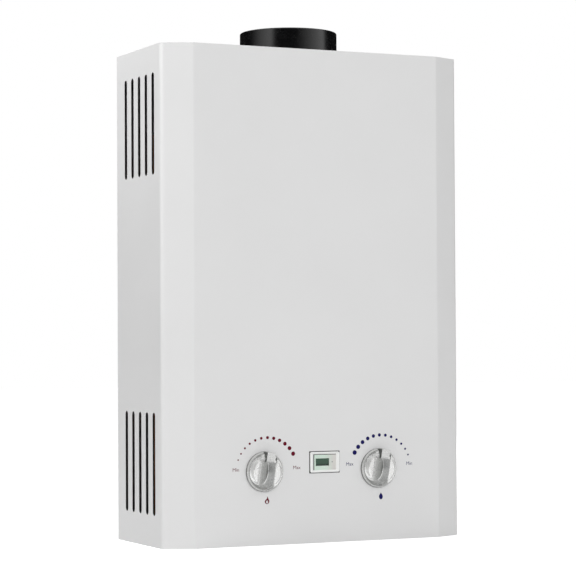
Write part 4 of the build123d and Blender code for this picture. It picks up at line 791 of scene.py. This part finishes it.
def stamp(curve, name, ink, x, z):
    """Filled flat curve printed on the front of the case."""
    tool = bpy.data.objects.new(name, curve)
    bpy.context.scene.collection.objects.link(tool)
    flat = applied_mesh(tool)
    bpy.data.objects.remove(tool)
    bm = bmesh.new()
    bm.from_mesh(flat)
    bpy.data.meshes.remove(flat)
    bmesh.ops.transform(bm, matrix=printed(x, z), verts=bm.verts)
    finish_piece(bm, name, "case", inks[ink])


# Sensor dot on the display's face, right of the glass.
bm = bmesh.new()
bmesh.ops.create_circle(bm, cap_ends=True, segments=24, radius=0.6 * MM, matrix=printed(11.7, 71.7, face_lo.y))
finish_piece(bm, "sensor_dot", "case", inks["grey"])

# Each scale has its middle and its radius, the angles of its ends in degrees and the dots' radii there, in mm.
scales = (
    ("flame", "crimson", FLAME_X, 65.1, 29.6, (159, 30), (0.7, 1.95)),
    ("water", "navy", WATER_X, 64.1, 30.4, (150, 23), (2.1, 0.85)),
)
for name, ink, x, z, arc_r, turns, sizes in scales:
    bm = bmesh.new()
    for i in range(INK_DOTS):
        share = i / (INK_DOTS - 1)
        turn = math.radians(turns[0] + (turns[1] - turns[0]) * share)
        bmesh.ops.create_circle(
            bm,
            cap_ends=True,
            segments=32,
            radius=(sizes[0] + (sizes[1] - sizes[0]) * share) * MM,
            matrix=printed(x + arc_r * math.cos(turn), z + arc_r * math.sin(turn)),
        )
    finish_piece(bm, f"{name}_scale_dots", "case", inks[ink])

for name, ink, words, x, z in (
    ("flame_min_mark", "crimson", "Min", -82.0, 67.0),
    ("flame_max_mark", "crimson", "Max", -23.0, 67.5),
    ("water_max_mark", "navy", "Max", 29.5, 69.0),
    ("water_min_mark", "navy", "Min", 90.0, 68.0),
):
    curve = bpy.data.curves.new(name, "FONT")
    curve.body = words
    curve.size = LETTERS
    curve.align_x = "CENTER"
    curve.align_y = "CENTER"
    stamp(curve, name, ink, x, z)

# Flame and drop under the knobs. Each outline has its points, in mm, and whether the line bends sharply there.
flame = [(0, -3.2, 0), (2.2, -1.2, 0), (1.5, 1.1, 0), (0.2, 3.6, 1), (-0.5, 1.2, 0), (-1.2, 0.9, 1), (-2.2, -1.2, 0)]
core = [(0, -2.6, 0), (0.9, -1.6, 0), (0, 0.3, 1), (-0.9, -1.6, 0)]
drop = [(0, -3.0, 0), (1.9, -1.0, 0), (0, 3.2, 1), (-1.9, -1.0, 0)]
for name, ink, outlines, x in (
    ("flame_mark", "crimson", (flame, core), FLAME_X),
    ("drop_mark", "navy", (drop,), WATER_X),
):
    curve = bpy.data.curves.new(name, "CURVE")
    curve.dimensions = "2D"
    curve.fill_mode = "BOTH"
    for outline in outlines:
        spline = curve.splines.new("BEZIER")
        spline.use_cyclic_u = True
        spline.resolution_u = 10
        spline.bezier_points.add(len(outline) - 1)
        for point, (px, pz, sharp) in zip(spline.bezier_points, outline):
            point.co = (px * MM, pz * MM, 0)
            point.handle_left_type = point.handle_right_type = "VECTOR" if sharp else "AUTO"
    stamp(curve, name, ink, x, SIGN_Z)


# ---------------------------------------------------------------- plastic housings, electrodes and cells
# Igniter box, battery box, its door and the back of the display are moulded in black ABS.
# The electrodes are glazed alumina, the contacts nickel-plated spring steel, and two D cells sit in the box.

CELL_L = 61.5 * MM
CELL_BAND = 46 * MM  # where the bright band of a cell starts

# Black ABS: spark-eroded mould texture, a soft sheen; the real grain of 0.2 mm is drawn at 0.6 mm.
black_abs, tree, place = start_material("black_abs")
spark = noise(tree, place, 0.6, 4.0)
colour = mix(tree, spark, linear("1C1D1F"), linear("2B2C2F"))
bump = dent(tree, spark, 0.3, 0.05)
shade(tree, {"Base Color": colour, "Roughness": 0.5, "Normal": bump})
paint_nodes("housing_plastic", black_abs)

# Glazed alumina: warm white and glassy, with a few specks from firing.
alumina, tree, place = start_material("glazed_alumina")
speck = noise(tree, place, 1.5, 3.0)
colour = ramp(tree, speck, (0.28, "A89C88"), (0.36, "ECE7DC"))
shade(tree, {"Base Color": colour, "Roughness": 0.2})
paint_nodes("electrode_ceramic", alumina)

# Nickel-plated spring steel: warm silver, rolled grain.
nickel, tree, place = start_material("nickel_plated_steel")
roll = noise(tree, stretch(tree, place, (1.0, 0.08, 1.0)), 0.8, 3.0)
colour = mix(tree, roll, linear("B5B1A8"), linear("D2CEC6"))
shade(tree, {"Base Color": colour, "Metallic": 1.0, "Roughness": 0.27})
paint_nodes("contact_steel", nickel)

# Plastic sleeve of a D cell: dark with one bright band by the plus end of each cell.
sleeve, tree, place = start_material("cell_sleeve")
along = maths(tree, "MODULO", split(tree, place)["Z"], CELL_L)
band = maths(tree, "GREATER_THAN", along, CELL_BAND)
wave = noise(tree, place, 10, 2.0)
colour = mix(tree, band, linear("24272C"), linear("B4783A"))
bump = dent(tree, wave, 0.1, 0.05)
shade(tree, {"Base Color": colour, "Roughness": 0.25, "Normal": bump})
paint_nodes("cell_label", sleeve)


# ---------------------------------------------------------------- floor, light and camera
# A plain pale floor, a soft box above and behind the camera, a small one over the left side, one at the rear.

FLOOR_HALF = 6.0
FLOOR_LIFT = 0.7  # glow that the camera sees on the paper
MIRRORED_SHARE = 0.35  # of it, in what polished things mirror

bm = bmesh.new()
under = Matrix.Translation((0, 0, cad_box[0].z))
bmesh.ops.create_grid(bm, x_segments=1, y_segments=1, size=FLOOR_HALF, matrix=under)
mesh = bpy.data.meshes.new("floor")
bm.to_mesh(mesh)
bm.free()
floor = bpy.data.objects.new("floor", mesh)
bpy.context.scene.collection.objects.link(floor)

# Matt white paper. What the camera and polished things see of it is lifted to white, so that only the
# object's shadow shows.
paper, tree, place = start_material("white_paper")
fibre = noise(tree, place, 4, 2.0)
colour = mix(tree, fibre, linear("D6D6D6"), linear("DADADA"))
sheet = add(tree, "ShaderNodeBsdfDiffuse", {}, {"Color": colour})
ray = add(tree, "ShaderNodeLightPath", {}, {})
bounced = maths(tree, "MAXIMUM", ray.outputs["Is Glossy Ray"], ray.outputs["Is Transmission Ray"])
faint = maths(tree, "MULTIPLY", bounced, MIRRORED_SHARE)
seen = maths(tree, "MAXIMUM", ray.outputs["Is Camera Ray"], faint)
lift = maths(tree, "MULTIPLY", seen, FLOOR_LIFT)
glow = add(tree, "ShaderNodeEmission", {}, {"Color": linear("FFFFFF"), "Strength": lift})
veil = add(tree, "ShaderNodeAddShader", {}, {0: sheet.outputs["BSDF"], 1: glow.outputs["Emission"]})
add(tree, "ShaderNodeOutputMaterial", {}, {"Surface": veil.outputs["Shader"]})
floor.data.materials.append(paper)

# The room is white to the camera. Polished things mirror two broad glowing screens, left and right of the
# camera, each brightest at one end, and a pale ceiling, with dark cloth between and behind them.
world = bpy.data.worlds.new("studio")
bpy.context.scene.world = world
world.use_nodes = True
tree = world.node_tree
tree.nodes.clear()
axes = split(tree, add(tree, "ShaderNodeTexCoord", {}, {}).outputs["Generated"])
turn = maths(tree, "ARCTAN2", axes["X"], maths(tree, "MULTIPLY", axes["Y"], -1.0))
screens = add(tree, "ShaderNodeValToRGB", {}, {"Fac": remap(tree, turn, -math.pi, math.pi)})
stops = [  # degrees to the right of straight ahead of the front, and the grey there
    (-180, 0.01),
    (-125, 0.01),
    (-116, 0.1),
    (-66, 1.0),
    (-58, 0.01),
    (-6, 0.01),
    (4, 0.12),
    (66, 1.0),
    (75, 0.01),
    (180, 0.01),
]
while len(screens.color_ramp.elements) < len(stops):
    screens.color_ramp.elements.new(0.5)
for element, (degrees, grey) in zip(screens.color_ramp.elements, stops):
    element.position = (degrees + 180) / 360
    element.color = (grey, grey, grey, 1)
overhead = remap(tree, axes["Z"], 0.5, 0.8, 0, 0.8)
blend = {"data_type": "RGBA", "blend_type": "LIGHTEN"}
room = add(tree, "ShaderNodeMix", blend, {"Factor": 1.0, 6: screens.outputs["Color"], 7: overhead})
ray = add(tree, "ShaderNodeLightPath", {}, {})
shown = maths(tree, "MAXIMUM", ray.outputs["Is Camera Ray"], ray.outputs["Is Transmission Ray"])
strength = remap(tree, shown, 0, 1, 0.5, 1.0)
plain = add(tree, "ShaderNodeBackground", {}, {"Color": linear("FFFFFF"), "Strength": strength})
mirrored = add(tree, "ShaderNodeBackground", {}, {"Color": room.outputs[2], "Strength": 1.0})
sky = add(
    tree,
    "ShaderNodeMixShader",
    {},
    {"Fac": ray.outputs["Is Glossy Ray"], 1: plain.outputs["Background"], 2: mirrored.outputs["Background"]},
)
add(tree, "ShaderNodeOutputWorld", {}, {"Surface": sky.outputs["Shader"]})

MIDDLE = Vector((0, -0.06, 0.22))  # what the lamps look at
for name, spot, size, watts in (
    ("soft_box_front", (-0.55, -2.6, 0.95), 0.9, 31),
    ("soft_box_side", (-0.6, 0.0, 0.95), 0.35, 4.8),
    ("soft_box_rear", (1.4, 1.0, 0.9), 1.0, 12),
):
    light = bpy.data.lights.new(name, "AREA")
    light.shape = "SQUARE"
    light.size = size
    light.energy = watts
    lamp = bpy.data.objects.new(name, light)
    lamp.rotation_mode = "QUATERNION"
    lamp.location = spot
    lamp.rotation_quaternion = (MIDDLE - Vector(spot)).to_track_quat("-Z", "Y")
    lamp.visible_glossy = False
    bpy.context.scene.collection.objects.link(lamp)

# Camera on the left of the front, a little below the middle of the case.
VIEW_YAW = math.radians(-25.24)
VIEW_TILT = math.radians(90 + 1.42)
VIEW_ROLL = math.radians(-0.29)
VIEW_SPOT = (-0.8418, -1.8386, 0.1794)
VIEW_LENS = 134.23  # for a sensor 36 wide
camera_data = bpy.data.cameras.new("camera")
camera_data.sensor_width = 36.0
camera_data.lens = VIEW_LENS
camera_data.clip_start = 0.05
camera_data.clip_end = 50
camera = bpy.data.objects.new("camera", camera_data)
camera.matrix_world = (
    Matrix.Translation(VIEW_SPOT)
    @ Matrix.Rotation(VIEW_YAW, 4, "Z")
    @ Matrix.Rotation(VIEW_TILT, 4, "X")
    @ Matrix.Rotation(VIEW_ROLL, 4, "Z")
)
bpy.context.scene.collection.objects.link(camera)
bpy.context.scene.camera = camera

bpy.context.scene.view_settings.view_transform = "Standard"
